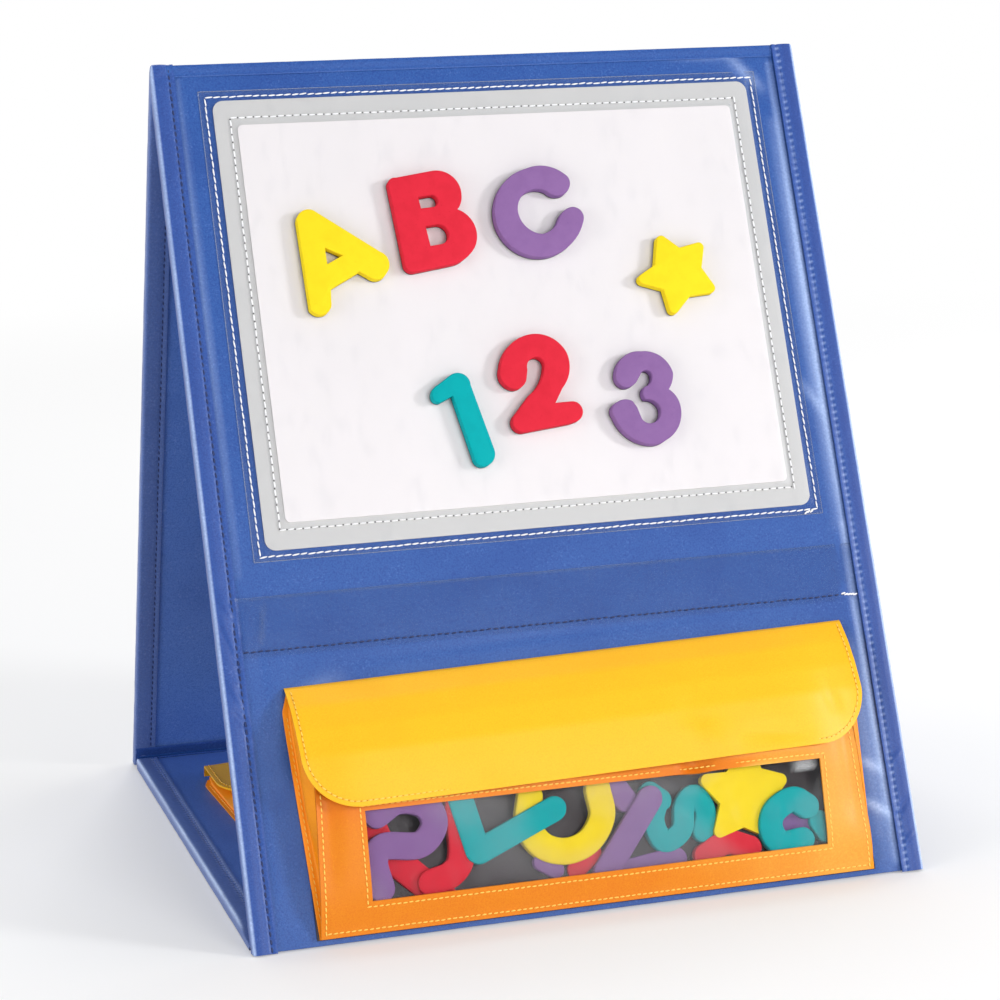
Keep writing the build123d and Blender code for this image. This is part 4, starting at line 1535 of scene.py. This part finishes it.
@dataclass(frozen=True)
class Closure:
    """Tab behind the front panel's foot, with hook tape that grips the base's margin."""

    body: str = "front_panel"
    span: Flat = (12.0, PANEL_WIDTH - 12.0)
    front: float = 9.8
    length: float = 35.2
    top: float = 8.0
    fall: float = 3.7
    vinyl: float = 1.1

    def build(self) -> None:
        """Makes the tab and its hook tape."""

        def place(across: float, along: float) -> Point:
            """Corner of the mesh at its shares across and along."""
            x = self.span[0] + across * (self.span[1] - self.span[0])
            y = self.front + along * self.length
            z = self.top - self.fall * along + 0.1 * ripple(x, y, 26.0, 33.0)
            return x, y, z - THICKNESS + 0.15 * exp(-((along - 0.9) / 0.05) ** 2)

        bm = sheet(100, 14, place, self.vinyl)
        piece = finished(
            "closure_tab_sheet", bm, BASE, BLUE_VINYL, self.body, ["closure_tab"], Slot.BLUE
        )
        cut = ((self.span[1] - self.span[0]) * MM, hypot(self.length, self.fall) * MM)

        def under(across: float, along: float) -> Point:
            """Corner of the mesh at its shares across and along."""
            x = self.span[0] + 1.0 + across * (self.span[1] - self.span[0] - 2.0)
            y = 14.0 + along * 18.0
            level = self.top - self.fall * (y - self.front) / self.length
            return x, y, level - THICKNESS - self.vinyl

        pile = sheet(80, 6, under, 1.0)
        finished(
            "closure_hook_pile", pile, BASE, HOOK_PILE, self.body, ["closure_hook_tape"], Slot.HOOK
        )
        line = 42.5
        level = self.top - self.fall * (line - self.front) / self.length
        route = [(x, line, level - THICKNESS) for x in self.span]
        seam = Seam(3.4, 2.6, 0.6, 0.05).run(route, seed=44)
        finished("closure_stitches", seam, BASE, SHADED_BLUE_THREAD, self.body, (), Slot.BLUE)


# Pouches

@dataclass(frozen=True)
class Pouch:
    """Vinyl pouch with a windowed front, pleated sides and a flap over its mouth.

    Drops are measured down from the flap's sewn line, and heights from the panel's skin.
    """

    prefix: str
    plane: Plane
    line: float
    body: str
    flap_body: str
    bulge: tuple[Flat, ...]
    flap_height: float
    tilt: float
    front_finish: Vinyl = ORANGE_VINYL
    centre: float = HALF + 2.5
    mouth: float = 14.0
    foot: float = 112.6
    mouth_half: float = 126.5
    foot_half: float = 131.2
    window: tuple[Flat, Flat] = ((54.0, 60.0), (270.0, 99.0))
    flap_half: float = 134.0
    flap_length: float = 56.0
    flap_radius: float = 25.0
    vinyl: float = 0.9
    dips: tuple[Crease, ...] = ()
    flap_dents: tuple[Crease, ...] = ()
    flap_rise: tuple[Flat, ...] = (
        (-1.4, 0.05), (0.0, 0.14), (9.0, 0.5), (20.0, 0.78), (32.0, 0.95), (56.0, 1.0)
    )
    side_from: float = 3.0
    side_rise: float = 15.0
    pleat_top: float = 3.5
    back_foot: float = 112.8
    back_length: float = 108.0
    back_lap: float = 1.4
    window_lap: float = 4.0
    seam_inset: float = 2.3
    tape: Flat = (46.0, 18.0)
    tape_drop: float = 46.0
    tape_spots: Flat = (-75.0, 75.0)

    @property
    def depth(self) -> float:
        """Greatest height of the front."""
        return max(height for _, height in self.bulge)

    def half(self, drop: float) -> float:
        """Half the width of the front at a drop."""
        share = (drop - self.mouth) / (self.foot - self.mouth)
        return self.mouth_half + share * (self.foot_half - self.mouth_half)

    def settle(self, x: float) -> float:
        """Share of its full height that the pouch keeps towards its ends."""
        left = x - self.centre + self.flap_half
        right = self.centre + self.flap_half - x
        return 1 - 0.12 * exp(-((left / 16) ** 2)) - 0.3 * exp(-((right / 22) ** 2))

    def front(self, x: float, drop: float) -> float:
        """Height of the front's face.

        Args:
            x: Distance across the panel.
            drop: Distance below the sewn line.

        Returns:
            The height there.
        """
        level = softened(self.bulge, drop, 12.0) * (1 - (1 - self.settle(x)) * ease(drop, 113, 80))
        edge = self.half(drop) - abs(x - self.centre)
        fall = 0.1 * self.depth * exp(-((edge - 5.0) / 4.5) ** 2) * ease(drop, 108, 70)
        slack = 0.02 * self.depth * ripple(x, drop, 42.0, 50.0)
        dips = sum(dip.rise(x, drop) for dip in self.dips)
        return level - fall * (1 if edge > 0 else 0.3) + slack * ease(drop, 112, 90) + dips

    def front_painted_light(self, point: Vector) -> float:
        """Painted light: highlight to the right and on a lip, shade under the flap and in its fold.

        Args:
            point: A point of the mesh.

        Returns:
            The painted light there.
        """
        drop = -self.line - point.y
        cloudy = 0.12 * ripple(point.x, drop, 26.0, 61.0)
        # Painted highlight growing to the right
        paled = 0.34 * ease(point.x, self.centre - 20, self.centre + 130)
        # Painted shade under the flap's left part
        shaded = 0.5 * exp(-(((drop - 55) / 9) ** 2)) * ease(point.x, 110, 50)
        # Painted shade in the fold below the flap
        folded = 0.9 * exp(-(((point.x - 208) / 20) ** 2)) * exp(-(((drop - 59.5) / 3.2) ** 2))
        # Painted highlight on the lit lip beside the fold
        lit = 0.6 * exp(-(((point.x - 240) / 14) ** 2)) * exp(-(((drop - 61.0) / 1.6) ** 2))
        return paled + cloudy - shaded - 0.1 - folded + lit

    def window_painted_glint(self, point: Vector) -> float:
        """Painted glint of the film below its upper right corner, a painted reflection."""
        (_, top), (right, _) = self.window
        inward, below = right - 8 - point.x, -self.line - point.y - top - 2.0
        return 0.8 * exp(-((inward / 5) ** 4)) * exp(-((below / 1.3) ** 2))

    def at(self, x: float, drop: float, height: float) -> Point:
        """A point of the pouch on its panel's plane."""
        return x, -self.line - drop, SKIN + height

    def build(self) -> None:
        """Makes the pouch's pieces."""
        self.build_back()
        self.build_front()
        self.build_window()
        for side in Side:
            self.build_gusset(side)
        self.build_flap()
        self.build_tapes()

    def build_back(self) -> None:
        """Back sheet, sewn to the panel, near black as painted shade of the pouch's inside."""
        half = self.foot_half + self.back_lap

        def place(across: float, along: float) -> Point:
            """Corner of the mesh at its shares across and along."""
            x = self.centre + (2 * across - 1) * half
            drop = self.back_foot - along * self.back_length
            return self.at(x, drop, 0.75 + 0.05 * ripple(x, along * 90, 30.0))

        bm = sheet(60, 24, place, 0.6)
        name = f"{self.prefix}_back"
        piece = finished(
            f"{name}_sheet", bm, self.plane, SHADE_LINING, self.body, [name], Slot.YELLOW
        )
        board_of(self.body)

    def build_front(self) -> None:
        """Front sheet with its window, and its yellow seams."""

        def place(across: float, along: float) -> Point:
            """Corner of the mesh at its shares across and along."""
            drop = self.foot - along * (self.foot - self.mouth)
            x = self.centre + (2 * across - 1) * self.half(drop)
            return self.at(x, drop, self.front(x, drop))

        bm = grid(130, 50, place)
        (left, top), (right, foot) = self.window
        cut_window(bm, (left, -self.line - foot), (right, -self.line - top))
        bmesh.ops.solidify(bm, geom=bm.faces[:], thickness=self.vinyl)
        name = f"{self.prefix}_front_frame"
        piece = finished(
            f"{self.prefix}_front", bm, self.plane, self.front_finish, self.body, [name],
            Slot.YELLOW, 50.0, self.front_painted_light,
        )
        runs = [POUCH_SEAM.run(self.window_route(2.2), seed=31)]
        for side in Side:
            runs.append(POUCH_SEAM.run(self.side_route(side, 2.2), seed=33))
        runs.append(POUCH_SEAM.run(self.foot_route(2.0), seed=35))
        finished(
            f"{self.prefix}_stitches", joined(runs), self.plane, YELLOW_THREAD, self.body, (),
            Slot.YELLOW,
        )

    def window_route(self, away: float) -> list[Point]:
        """Seam round the window.

        Args:
            away: Distance out from the window's edge.

        Returns:
            The seam's points.
        """
        (left, top), (right, foot) = self.window
        low, high = (left - away, top - away), (right + away, foot + away)
        points = []
        corners = [low, (high[0], low[1]), high, (low[0], high[1]), low]
        for first, second in zip(corners, corners[1:]):
            count = 16
            for index in range(count):
                x = first[0] + (second[0] - first[0]) * index / count
                drop = first[1] + (second[1] - first[1]) * index / count
                points.append(self.at(x, drop, self.front(x, drop)))
        points.append(points[0])
        return points

    def side_route(self, side: Side, inset: float) -> list[Point]:
        """Seam down one side of the front.

        Args:
            side: The side it runs down.
            inset: Distance in from the edge.

        Returns:
            The seam's points.
        """
        points = []
        for index in range(31):
            drop = self.mouth + 2 + (self.foot - self.mouth - 3) * index / 30
            x = self.centre + side.value * (self.half(drop) - inset)
            points.append(self.at(x, drop, self.front(x, drop)))
        return points

    def foot_route(self, rise: float) -> list[Point]:
        """Seam along the foot of the front.

        Args:
            rise: Distance of the seam above the foot.

        Returns:
            The seam's points.
        """
        drop = self.foot - rise
        points = []
        for index in range(41):
            x = self.centre + (index / 20 - 1) * (self.foot_half - 2.5)
            points.append(self.at(x, drop, self.front(x, drop)))
        return points

    def build_window(self) -> None:
        """Clear window film behind the front."""
        (left, top), (right, foot) = self.window
        lap = self.window_lap

        def place(across: float, along: float) -> Point:
            """Corner of the mesh at its shares across and along."""
            x = left - lap + across * (right - left + 2 * lap)
            drop = foot + lap - along * (foot - top + 2 * lap)
            height = self.front(x, drop) - self.vinyl - 0.06
            return self.at(x, drop, height + 0.12 * min(0.0, ripple(x, drop, 22.0, 60.0)))

        bm = sheet(90, 20, place, 0.3)
        piece = finished(
            f"{self.prefix}_window_film", bm, self.plane, WINDOW_FILM, self.body,
            [f"{self.prefix}_window"], Slot.CLEAR, 60.0, self.window_painted_glint,
        )

    def build_gusset(self, side: Side) -> None:
        """Pleated side: a sewn flange on the panel, a fold inward, and a wall to the front.

        Args:
            side: The side that is built.
        """
        flange = ((3.0, 133.2), (12.0, 136.2), (20.0, 136.0), (95.0, 132.6), (self.foot, 131.8))
        fold = (
            (3.0, 132.4), (16.0, 132.9), (60.0, 132.0), (77.0, 128.6), (95.0, 125.5),
            (112.0, 124.0),
        )

        def place(across: float, along: float) -> Point:
            """Corner of the mesh at its shares across and along."""
            drop = self.foot - along * (self.foot - self.pleat_top)
            rim = self.centre + side.value * self.half(max(drop, self.mouth))
            risen = ease(drop, self.side_from, self.side_rise)
            level = max(1.0, self.front(rim, drop) * risen - 0.45)
            outer = blend_of(flange, drop)
            inner = softened(fold, drop, 10.0)
            front = self.half(max(drop, self.mouth)) + 0.15
            stops = (
                (0.0, outer), (0.26, outer - 3.0 - 0.012 * drop), (0.62, inner), (1.0, front)
            )
            heights = ((0.0, 0.9), (0.26, 1.15), (0.62, 0.46 * level + 0.4), (1.0, level))
            pinch = 0.18 * ripple(drop, across * 9, 7.0, 70.0 + side.value)
            x = softened(stops, across, 0.1) + pinch * 0.4
            height = softened(heights, across, 0.1) + pinch * (0.4 + across)
            return self.at(self.centre + side.value * x, drop, height)

        bm = sheet(26, 70, place, 0.7 if side is Side.LEFT else -0.7)
        word = side.name.lower()
        piece = finished(
            f"{self.prefix}_pleat_{word}", bm, self.plane, PLEAT_VINYL, self.body,
            [f"{self.prefix}_gusset_{word}"], Slot.YELLOW, 50.0,
        )
        size = ((7.4 + 0.55 * self.depth) * MM, (self.foot - self.pleat_top) * MM)
        route = []
        for index in range(25):
            drop = 14.0 + (self.foot - 20.0) * index / 24
            x = self.centre + side.value * (blend_of(flange, drop) - 2.0)
            route.append(self.at(x, drop, 1.05))
        seam = Seam(3.0, 2.4, 0.5, 0.05).run(route, seed=41)
        finished(
            f"{self.prefix}_pleat_{word}_stitches", seam, self.plane, YELLOW_THREAD, self.body, (),
            Slot.YELLOW,
        )

    def flap_point(self, across: float, drop: float, half: float) -> Point:
        """A point of the flap's face, turned with the flap's tilt about its sewn line.

        Args:
            across: Share of the flap's width, from 0 to 1.
            drop: Distance from its sewn line.
            half: Half of its width there.

        Returns:
            The point, on the panel's plane.
        """
        x = (2 * across - 1) * half
        lift = softened(self.flap_rise, drop, 3.0 * ease(drop, 0, 8))
        height = (self.flap_height + 1.1) * lift * self.settle(self.centre + x)
        height += sum(dent.rise(self.centre + x, drop) for dent in self.flap_dents)
        belly = 0.35 * ripple(x, drop, 55.0, 80.0) * ease(drop, 4, 20)
        lower = 0.3 * ease(drop, 40, 56)
        turn = radians(self.tilt)
        y = -drop
        flat_x = x * cos(turn) - y * sin(turn)
        flat_y = x * sin(turn) + y * cos(turn)
        return self.at(self.centre + flat_x, -flat_y, height + belly - lower)

    def flap_row(self, along: float) -> Flat:
        """Drop and half width of the flap at a share of its length.

        Args:
            along: Share of the flap's length, from 0 to 1.

        Returns:
            Drop and half width.
        """
        straight = self.flap_length - self.flap_radius
        turn_from = 0.5
        if along < turn_from:
            return (straight + 1.4) * along / turn_from - 1.4, self.flap_half
        angle = (along - turn_from) / (1 - turn_from) * pi / 2
        drop = straight + self.flap_radius * sin(angle)
        return drop, self.flap_half - self.flap_radius * (1 - cos(angle))

    def flap_side(self, across: float) -> list[Point]:
        """Seam down the left half of the flap's edge, where across is 0, or down the right half.

        Args:
            across: 0 for the left half, 1 for the right half.

        Returns:
            The seam's points.
        """
        points = []
        for index in range(61):
            share = 0.03 + 0.97 * index / 60
            drop, half = self.flap_row(share)
            angle = max(0.0, (share - 0.5) * pi)
            drop -= self.seam_inset * sin(angle)
            points.append(self.flap_point(across, drop, half - self.seam_inset * cos(angle)))
        return points

    def build_flap(self) -> None:
        """Flap with round lower corners, and the seam inside its edge."""

        def place(across: float, along: float) -> Point:
            """Corner of the mesh at its shares across and along."""
            drop, half = self.flap_row(1 - along)
            return self.flap_point(across, drop, half)

        bm = sheet(120, 56, place, 1.1)
        name = f"{self.prefix}_flap"
        piece = finished(
            f"{name}_sheet", bm, self.plane, YELLOW_VINYL, self.flap_body, [name], Slot.YELLOW, 50.0
        )
        route = self.flap_side(0.0) + self.flap_side(1.0)[::-1]
        seam = POUCH_SEAM.run(route, seed=51)
        finished(
            f"{name}_stitches", seam, self.plane, YELLOW_THREAD, self.flap_body, (), Slot.YELLOW
        )
        holes = POUCH_SEAM.holes(route, 0.8, 51)
        finished(f"{name}_needle_holes", holes, self.plane, AMBER_HOLE_SHADE, self.flap_body)

    def build_tapes(self) -> None:
        """Patches of hook tape under the flap and of loop tape on the front."""
        hooks, loops = [], []
        width, length = self.tape
        for spot in self.tape_spots:
            left = self.centre + spot - width / 2

            def under(across: float, along: float, left: float = left) -> Point:
                """Corner of the mesh at its shares across and along."""
                x, drop = left + width * across, self.tape_drop - length * along
                share = (x - self.centre + self.flap_half) / (2 * self.flap_half)
                _, _, z = self.flap_point(share, drop, self.flap_half)
                return x, -self.line - drop, z - 1.0

            hooks.append(sheet(16, 8, under, 0.8))

            def place(across: float, along: float, left: float = left) -> Point:
                """Corner of the mesh at its shares across and along."""
                x, drop = left + width * across, self.tape_drop - length * along
                return self.at(x, drop, self.front(x, drop) + 0.75)

            loops.append(sheet(16, 8, place, 0.7))
        finished(
            f"{self.prefix}_flap_hook_pile", joined(hooks), self.plane, HOOK_PILE, self.flap_body,
            [f"{self.prefix}_flap_tape"], Slot.HOOK,
        )
        finished(
            f"{self.prefix}_loop_pile", joined(loops), self.plane, LOOP_PILE, self.body,
            [f"{self.prefix}_catch_tape"], Slot.LOOP,
        )


# Foam letters

@dataclass(frozen=True)
class FoamLetter:
    """Foam magnet on the board, cut by a die that leaves its upper edge slightly round."""

    name: str
    colour: str

    def build(self) -> None:
        """Makes the letter from the outline of its CAD solid."""
        bm = bmesh.new()
        bm.from_mesh(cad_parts[f"{self.name}_foam"].data)
        bmesh.ops.remove_doubles(bm, verts=bm.verts[:], dist=1e-6)
        bmesh.ops.dissolve_limit(
            bm, angle_limit=radians(0.3), verts=bm.verts[:], edges=bm.edges[:]
        )
        bmesh.ops.transform(bm, matrix=FRONT.matrix.inverted(), verts=bm.verts[:])
        top = max(vert.co.z for vert in bm.verts)
        rim = [
            edge for edge in bm.edges
            if all(vert.co.z > top - 0.01 for vert in edge.verts)
            and edge.calc_face_angle(0.0) > radians(30)
        ]
        round_edges(bm, rim, 0.55, 3)
        name = f"{self.name}_foam"
        piece = finished(
            f"{name}_piece", bm, FRONT, FOAMS[self.colour], f"{self.name}_body", [name], None, 40.0
        )
        dress_node(f"{self.name}_magnet", MAGNET)


@dataclass(frozen=True)
class LoosePiece:
    """Foam letter lying in the pouch: a thick stroke along a route.

    The route is in millimetres from the panel's left edge and down from the ridge.
    The sink is how far its face lies under the uppermost pieces.
    """

    colour: str
    route: tuple[Flat, ...]
    sink: float = 0.0
    width: float = 12.0
    thickness: float = 5.0
    top: tuple[Flat, Flat] = ((97.0, 6.5), (48.0, 13.4))

    def lift(self, y: float) -> float:
        """Height of the uppermost pieces' faces above the skin."""
        (low, first), (high, second) = self.top
        return first + (second - first) * (-y - POUCH_LINE - low) / (high - low)

    def build(self) -> bmesh.types.BMesh:
        """The stroke as a closed mesh with round ends and a soft upper edge.

        Returns:
            The stroke's mesh.
        """
        line = path_through([(u, -v, 0) for u, v in self.route], 1.2)
        radius = self.width / 2
        start, end = (line[0] - line[1]).normalized(), (line[-1] - line[-2]).normalized()
        caps = [sin(step * pi / 12) for step in range(6, 0, -1)]
        spots = [(line[0] + start * radius * cap, sqrt(1 - cap * cap)) for cap in caps]
        spots += [(point, 1.0) for point in line]
        spots += [(line[-1] + end * radius * cap, sqrt(1 - cap * cap)) for cap in reversed(caps)]
        sides = 16
        squared = 0.24

        def place(across: float, along: float) -> Point:
            """Corner of the mesh at its shares across and along."""
            index = round(along * (len(spots) - 1))
            spot, share = spots[index]
            before, after = spots[max(0, index - 1)][0], spots[min(len(spots) - 1, index + 1)][0]
            run = (after - before).normalized()
            normal = Vector((-run.y, run.x, 0))
            angle = 2 * pi * across
            wide = abs(cos(angle)) ** squared * (1 if cos(angle) >= 0 else -1)
            tall = abs(sin(angle)) ** squared * (1 if sin(angle) >= 0 else -1)
            point = spot + normal * (radius * share * wide)
            height = self.lift(point.y) - self.sink - self.thickness / 2
            return point.x, point.y, SKIN + height + self.thickness / 2 * tall * (0.9 + 0.1 * share)

        bm = grid(sides, len(spots) - 1, place)
        bmesh.ops.remove_doubles(bm, verts=bm.verts[:], dist=1e-3)
        bmesh.ops.holes_fill(bm, edges=[edge for edge in bm.edges if edge.is_boundary], sides=0)
        return bm


@dataclass(frozen=True)
class PouchContents:
    """Foam letters kept in the front pouch, one piece for each colour."""

    body: str = "front_panel"
    pieces: tuple[LoosePiece, ...] = (
        LoosePiece(
            "purple", ((60, 352), (70, 347), (82, 350), (85.5, 359), (78, 367), (62, 366),
                       (57, 372), (59, 384)),
        ),
        LoosePiece("purple", ((187, 359), (163, 389)), 1.6),
        LoosePiece("purple", ((172, 390), (197, 387)), 3.4, 11.0),
        LoosePiece("purple", ((172, 352), (176, 358)), 3.6, 11.0),
        LoosePiece("purple", ((252, 377), (262, 377)), 4.0, 9.0),
        LoosePiece("purple", ((134, 381), (140, 385)), 3.4, 8.0),
        LoosePiece("red", ((97, 352), (97, 373), (92, 381), (82, 384)), 1.5),
        LoosePiece("red", ((56, 350), (62, 366), (72, 377), (88, 392)), 4.0, 13.0),
        LoosePiece("red", ((211, 387), (222, 382.5), (233, 386)), 1.8, 11.0),
        LoosePiece("teal", ((188, 356), (193, 360)), 3.8, 10.0),
        LoosePiece("red", ((150, 386), (158, 380)), 4.2, 9.0),
        LoosePiece("teal", ((97.5, 346), (104, 372.5)), 0.3, 11.5),
        LoosePiece("teal", ((105, 373), (141, 358.5)), 0.3, 11.5),
        LoosePiece(
            "teal", ((191.4, 359.7), (188.4, 369.3), (192.5, 378.5), (201.3, 374.5), (203.8, 363.5),
                     (209, 359.7), (213.4, 367), (211.5, 376)), 2.8, 10.0,
        ),
        LoosePiece(
            "teal", ((262.3, 370.6), (255.5, 366.8), (246.2, 371.2), (243.6, 378.8), (248, 385.8),
                     (258.4, 385.6)), 0.2, 11.6,
        ),
        LoosePiece("teal", ((268, 378), (271, 383)), 1.5, 10.0),
        LoosePiece(
            "yellow", ((163, 352), (164, 364), (157, 374), (146, 377.5), (135, 374), (129, 364),
                       (131, 352)), 2.2,
        ),
    )

    def build(self) -> None:
        """Makes the loose letters of each colour, and the star among them."""
        for colour, finish in FOAMS.items():
            parts = [piece.build() for piece in self.pieces if piece.colour == colour]
            if colour == "yellow":
                parts.append(self.star())
            node = f"contents_{colour}"
            name = f"loose_letters_{colour}"
            piece = finished(name, joined(parts), FRONT, finish, self.body, [node])

    @staticmethod
    def star() -> bmesh.types.BMesh:
        """A star like the one on the board, turned and leaned against the window.

        Returns:
            The star's mesh.
        """
        bm = bmesh.new()
        bm.from_mesh(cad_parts["star_foam"].data)
        bmesh.ops.remove_doubles(bm, verts=bm.verts[:], dist=1e-6)
        bmesh.ops.transform(bm, matrix=FRONT.matrix.inverted(), verts=bm.verts[:])
        middle, spot = Vector((237.0, -115.0, 0)), Vector((230.8, -361.8, 0))
        growth, lean, sunk = (1.12, 1.18), 0.06, 6.2
        base = min(vert.co.z for vert in bm.verts)
        turn = Matrix.Rotation(radians(-30), 3, "Z")
        guide = LoosePiece("yellow", ((0, 0), (1, 0)))
        for vert in bm.verts:
            flat = turn @ (Vector((vert.co.x, vert.co.y, 0)) - middle)
            x, y = spot.x + growth[0] * flat.x, spot.y + growth[1] * flat.y
            height = vert.co.z - base - lean * flat.x
            vert.co = (x, y, SKIN + guide.lift(y) - sunk + height)
        return bm


# Studio

@dataclass(frozen=True)
class Lamp:
    """Soft square lamp that faces a point of the object."""

    name: str
    place: Point
    size: float
    power: float
    target: Point = (0.0, 0.0, 0.17)

    def build(self) -> None:
        """Adds the lamp to the scene."""
        data = bpy.data.lights.new(self.name, "AREA")
        data.size = self.size
        data.energy = self.power
        lamp = bpy.data.objects.new(self.name, data)
        lamp.location = self.place
        aim = Vector(self.target) - Vector(self.place)
        lamp.rotation_euler = aim.to_track_quat("-Z", "Y").to_euler()
        bpy.context.scene.collection.objects.link(lamp)


@dataclass(frozen=True)
class Studio:
    """White table and surroundings, soft lamps and the camera."""

    eye: Point = (-376.3, -1242.4, 421.7)
    yaw: float = 0.29714
    pitch: float = -0.19923
    roll: float = -0.02278
    lens: float = 97.28
    surround: float = 0.42
    floor_glow: float = 0.26
    clear_from: float = 0.75
    clear_to: float = 2.2
    table_half: float = 6.0
    table_drop: float = 0.0004
    table_colour: Colour = (0.93, 0.93, 0.935)
    white: Colour = (1.0, 1.0, 1.0)
    sensor: float = 36.0
    clip: Flat = (0.05, 50.0)
    lamps: tuple[Lamp, ...] = (
        Lamp("key_lamp", (0.55, -2.35, 0.85), 0.9, 18.0),
        Lamp("right_lamp", (2.1, -1.5, 0.85), 0.45, 33.0),
        Lamp("top_lamp", (0.1, 1.1, 2.4), 1.2, 26.0),
        Lamp("left_lamp", (-2.3, -1.0, 0.5), 1.2, 20.0),
        Lamp("left_rim_lamp", (-1.9, 1.5, 0.6), 1.0, 6.0),
        Lamp("right_rim_lamp", (2.0, 1.2, 0.7), 1.0, 11.0),
    )

    def seen(self, tree: Tree) -> Value:
        """1 for rays from the camera or off a glossy or clear surface, else 0."""
        rays = [
            tree.node("ShaderNodeLightPath", output=name)
            for name in ("Is Camera Ray", "Is Glossy Ray", "Is Transmission Ray")
        ]
        whole = rays[0] + rays[1] + rays[2]
        return whole.join("MINIMUM", whole, 1.0)

    def build(self) -> None:
        """Makes the surroundings, table, lamps and camera."""
        scene = bpy.context.scene
        world = bpy.data.worlds.new("white_room")
        scene.world = world
        tree = Tree(world)
        strength = self.seen(tree) * (1 - self.surround) + self.surround
        glow = tree.node(
            "ShaderNodeBackground", None, {"Color": self.white, "Strength": strength}
        )
        tree.end(glow, "ShaderNodeOutputWorld")
        self.build_table()
        for lamp in self.lamps:
            lamp.build()
        self.build_camera()
        scene.view_settings.view_transform = "Standard"

    def build_table(self) -> None:
        """White table that keeps the object's shadow."""
        bm = bmesh.new()
        bmesh.ops.create_grid(bm, x_segments=2, y_segments=2, size=self.table_half)
        mesh = bpy.data.meshes.new("table")
        bm.to_mesh(mesh)
        bm.free()
        material = bpy.data.materials.new("white_table")
        tree = Tree(material)
        matt = tree.node("ShaderNodeBsdfDiffuse", None, {"Color": self.table_colour})
        glow = tree.node("ShaderNodeEmission", None, {"Color": self.white, "Strength": 1.0})
        reach = tree.node("ShaderNodeVectorMath", {"operation": "LENGTH"}, {0: tree.spot()}, 1)
        far = reach.stretched(self.clear_from, self.clear_to)
        share = self.seen(tree) * (far * (1 - self.floor_glow) + self.floor_glow)
        tree.end(tree.node("ShaderNodeMixShader", None, {0: share, 1: matt, 2: glow}))
        mesh.materials.append(material)
        table = bpy.data.objects.new("table", mesh)
        table.location = (0, 0, -self.table_drop)
        bpy.context.scene.collection.objects.link(table)

    def build_camera(self) -> None:
        """Camera at the photograph's place, with its turn given by yaw, pitch and roll."""
        ahead = Vector((
            sin(self.yaw) * cos(self.pitch), cos(self.yaw) * cos(self.pitch), sin(self.pitch)
        ))
        level = Vector((cos(self.yaw), -sin(self.yaw), 0))
        above = level.cross(ahead)
        right = level * cos(self.roll) + above * sin(self.roll)
        up = above * cos(self.roll) - level * sin(self.roll)
        data = bpy.data.cameras.new("camera")
        data.lens = self.lens
        data.sensor_width = self.sensor
        data.clip_start, data.clip_end = self.clip
        camera = bpy.data.objects.new("camera", data)
        turn = Matrix((right, up, -ahead)).transposed().to_4x4()
        camera.matrix_world = Matrix.Translation(Vector(self.eye) * MM) @ turn
        bpy.context.scene.collection.objects.link(camera)
        bpy.context.scene.camera = camera


DEEP_BULGE = (
    (16.0, 8.8), (30.0, 14.0), (45.0, 15.0), (60.0, 14.4), (95.5, 8.9), (102.0, 6.2), (113.0, 1.7)
)
FLAT_BULGE = ((16.0, 5.0), (30.0, 5.1), (60.0, 5.6), (95.5, 4.6), (102.0, 3.8), (113.0, 1.7))
POUCH_DIPS = (
    Crease((202, 51), (216, 60), 5.5, -4.6), Crease((160, 50), (206, 58), 6.0, -1.2),
    Crease((222, 55), (264, 54), 4.0, 2.2),
)
FOLDED_RISE = ((-1.4, 0.3), (-0.9, 0.8), (0.6, 0.96), (56.0, 1.0))
FLAP_DENTS = (
    Crease((276, 27), (281, 44), 3.5, -0.9), Crease((206, 26), (212, 42), 5.0, -0.9),
    Crease((212, 40), (226, 58), 7.0, 1.4), Crease((232, 46), (262, 50), 4.0, -0.7),
)
FRONT_LETTERS = {
    "letter_a": "yellow", "letter_b": "red", "letter_c": "purple", "star": "yellow",
    "number_1": "teal", "number_2": "red", "number_3": "purple",
}


def main() -> None:
    """Builds the chart's pieces in order, then the studio round them."""
    logging.basicConfig(level=logging.INFO, format="%(name)s: %(message)s")
    FrontPanel().build()
    WriteOnBoard().build()
    CardPockets(
        "front_card_strip", FRONT, "front_panel", "clear_card_pocket", ((249.6, 276.6),),
        STRIP_FILM, curl=1.6,
    ).build()
    RearPanel().build()
    FoldStrips().build()
    BasePanel().build()
    Closure().build()
    Pouch(
        "pouch", FRONT, POUCH_LINE, "front_panel", "pouch_flap_body", DEEP_BULGE, 18.1, 1.2,
        dips=POUCH_DIPS, flap_dents=FLAP_DENTS,
    ).build()
    Pouch(
        "base_pouch", BASE, -BASE_POUCH_LINE, "base_panel", "base_flap_body", FLAT_BULGE, 8.2, 0.0,
        YELLOW_VINYL, flap_rise=FOLDED_RISE, side_from=-0.5, side_rise=1.5,
    ).build()
    for name, colour in FRONT_LETTERS.items():
        FoamLetter(name, colour).build()
    PouchContents().build()
    Studio().build()


if __name__ == "__main__":
    main()
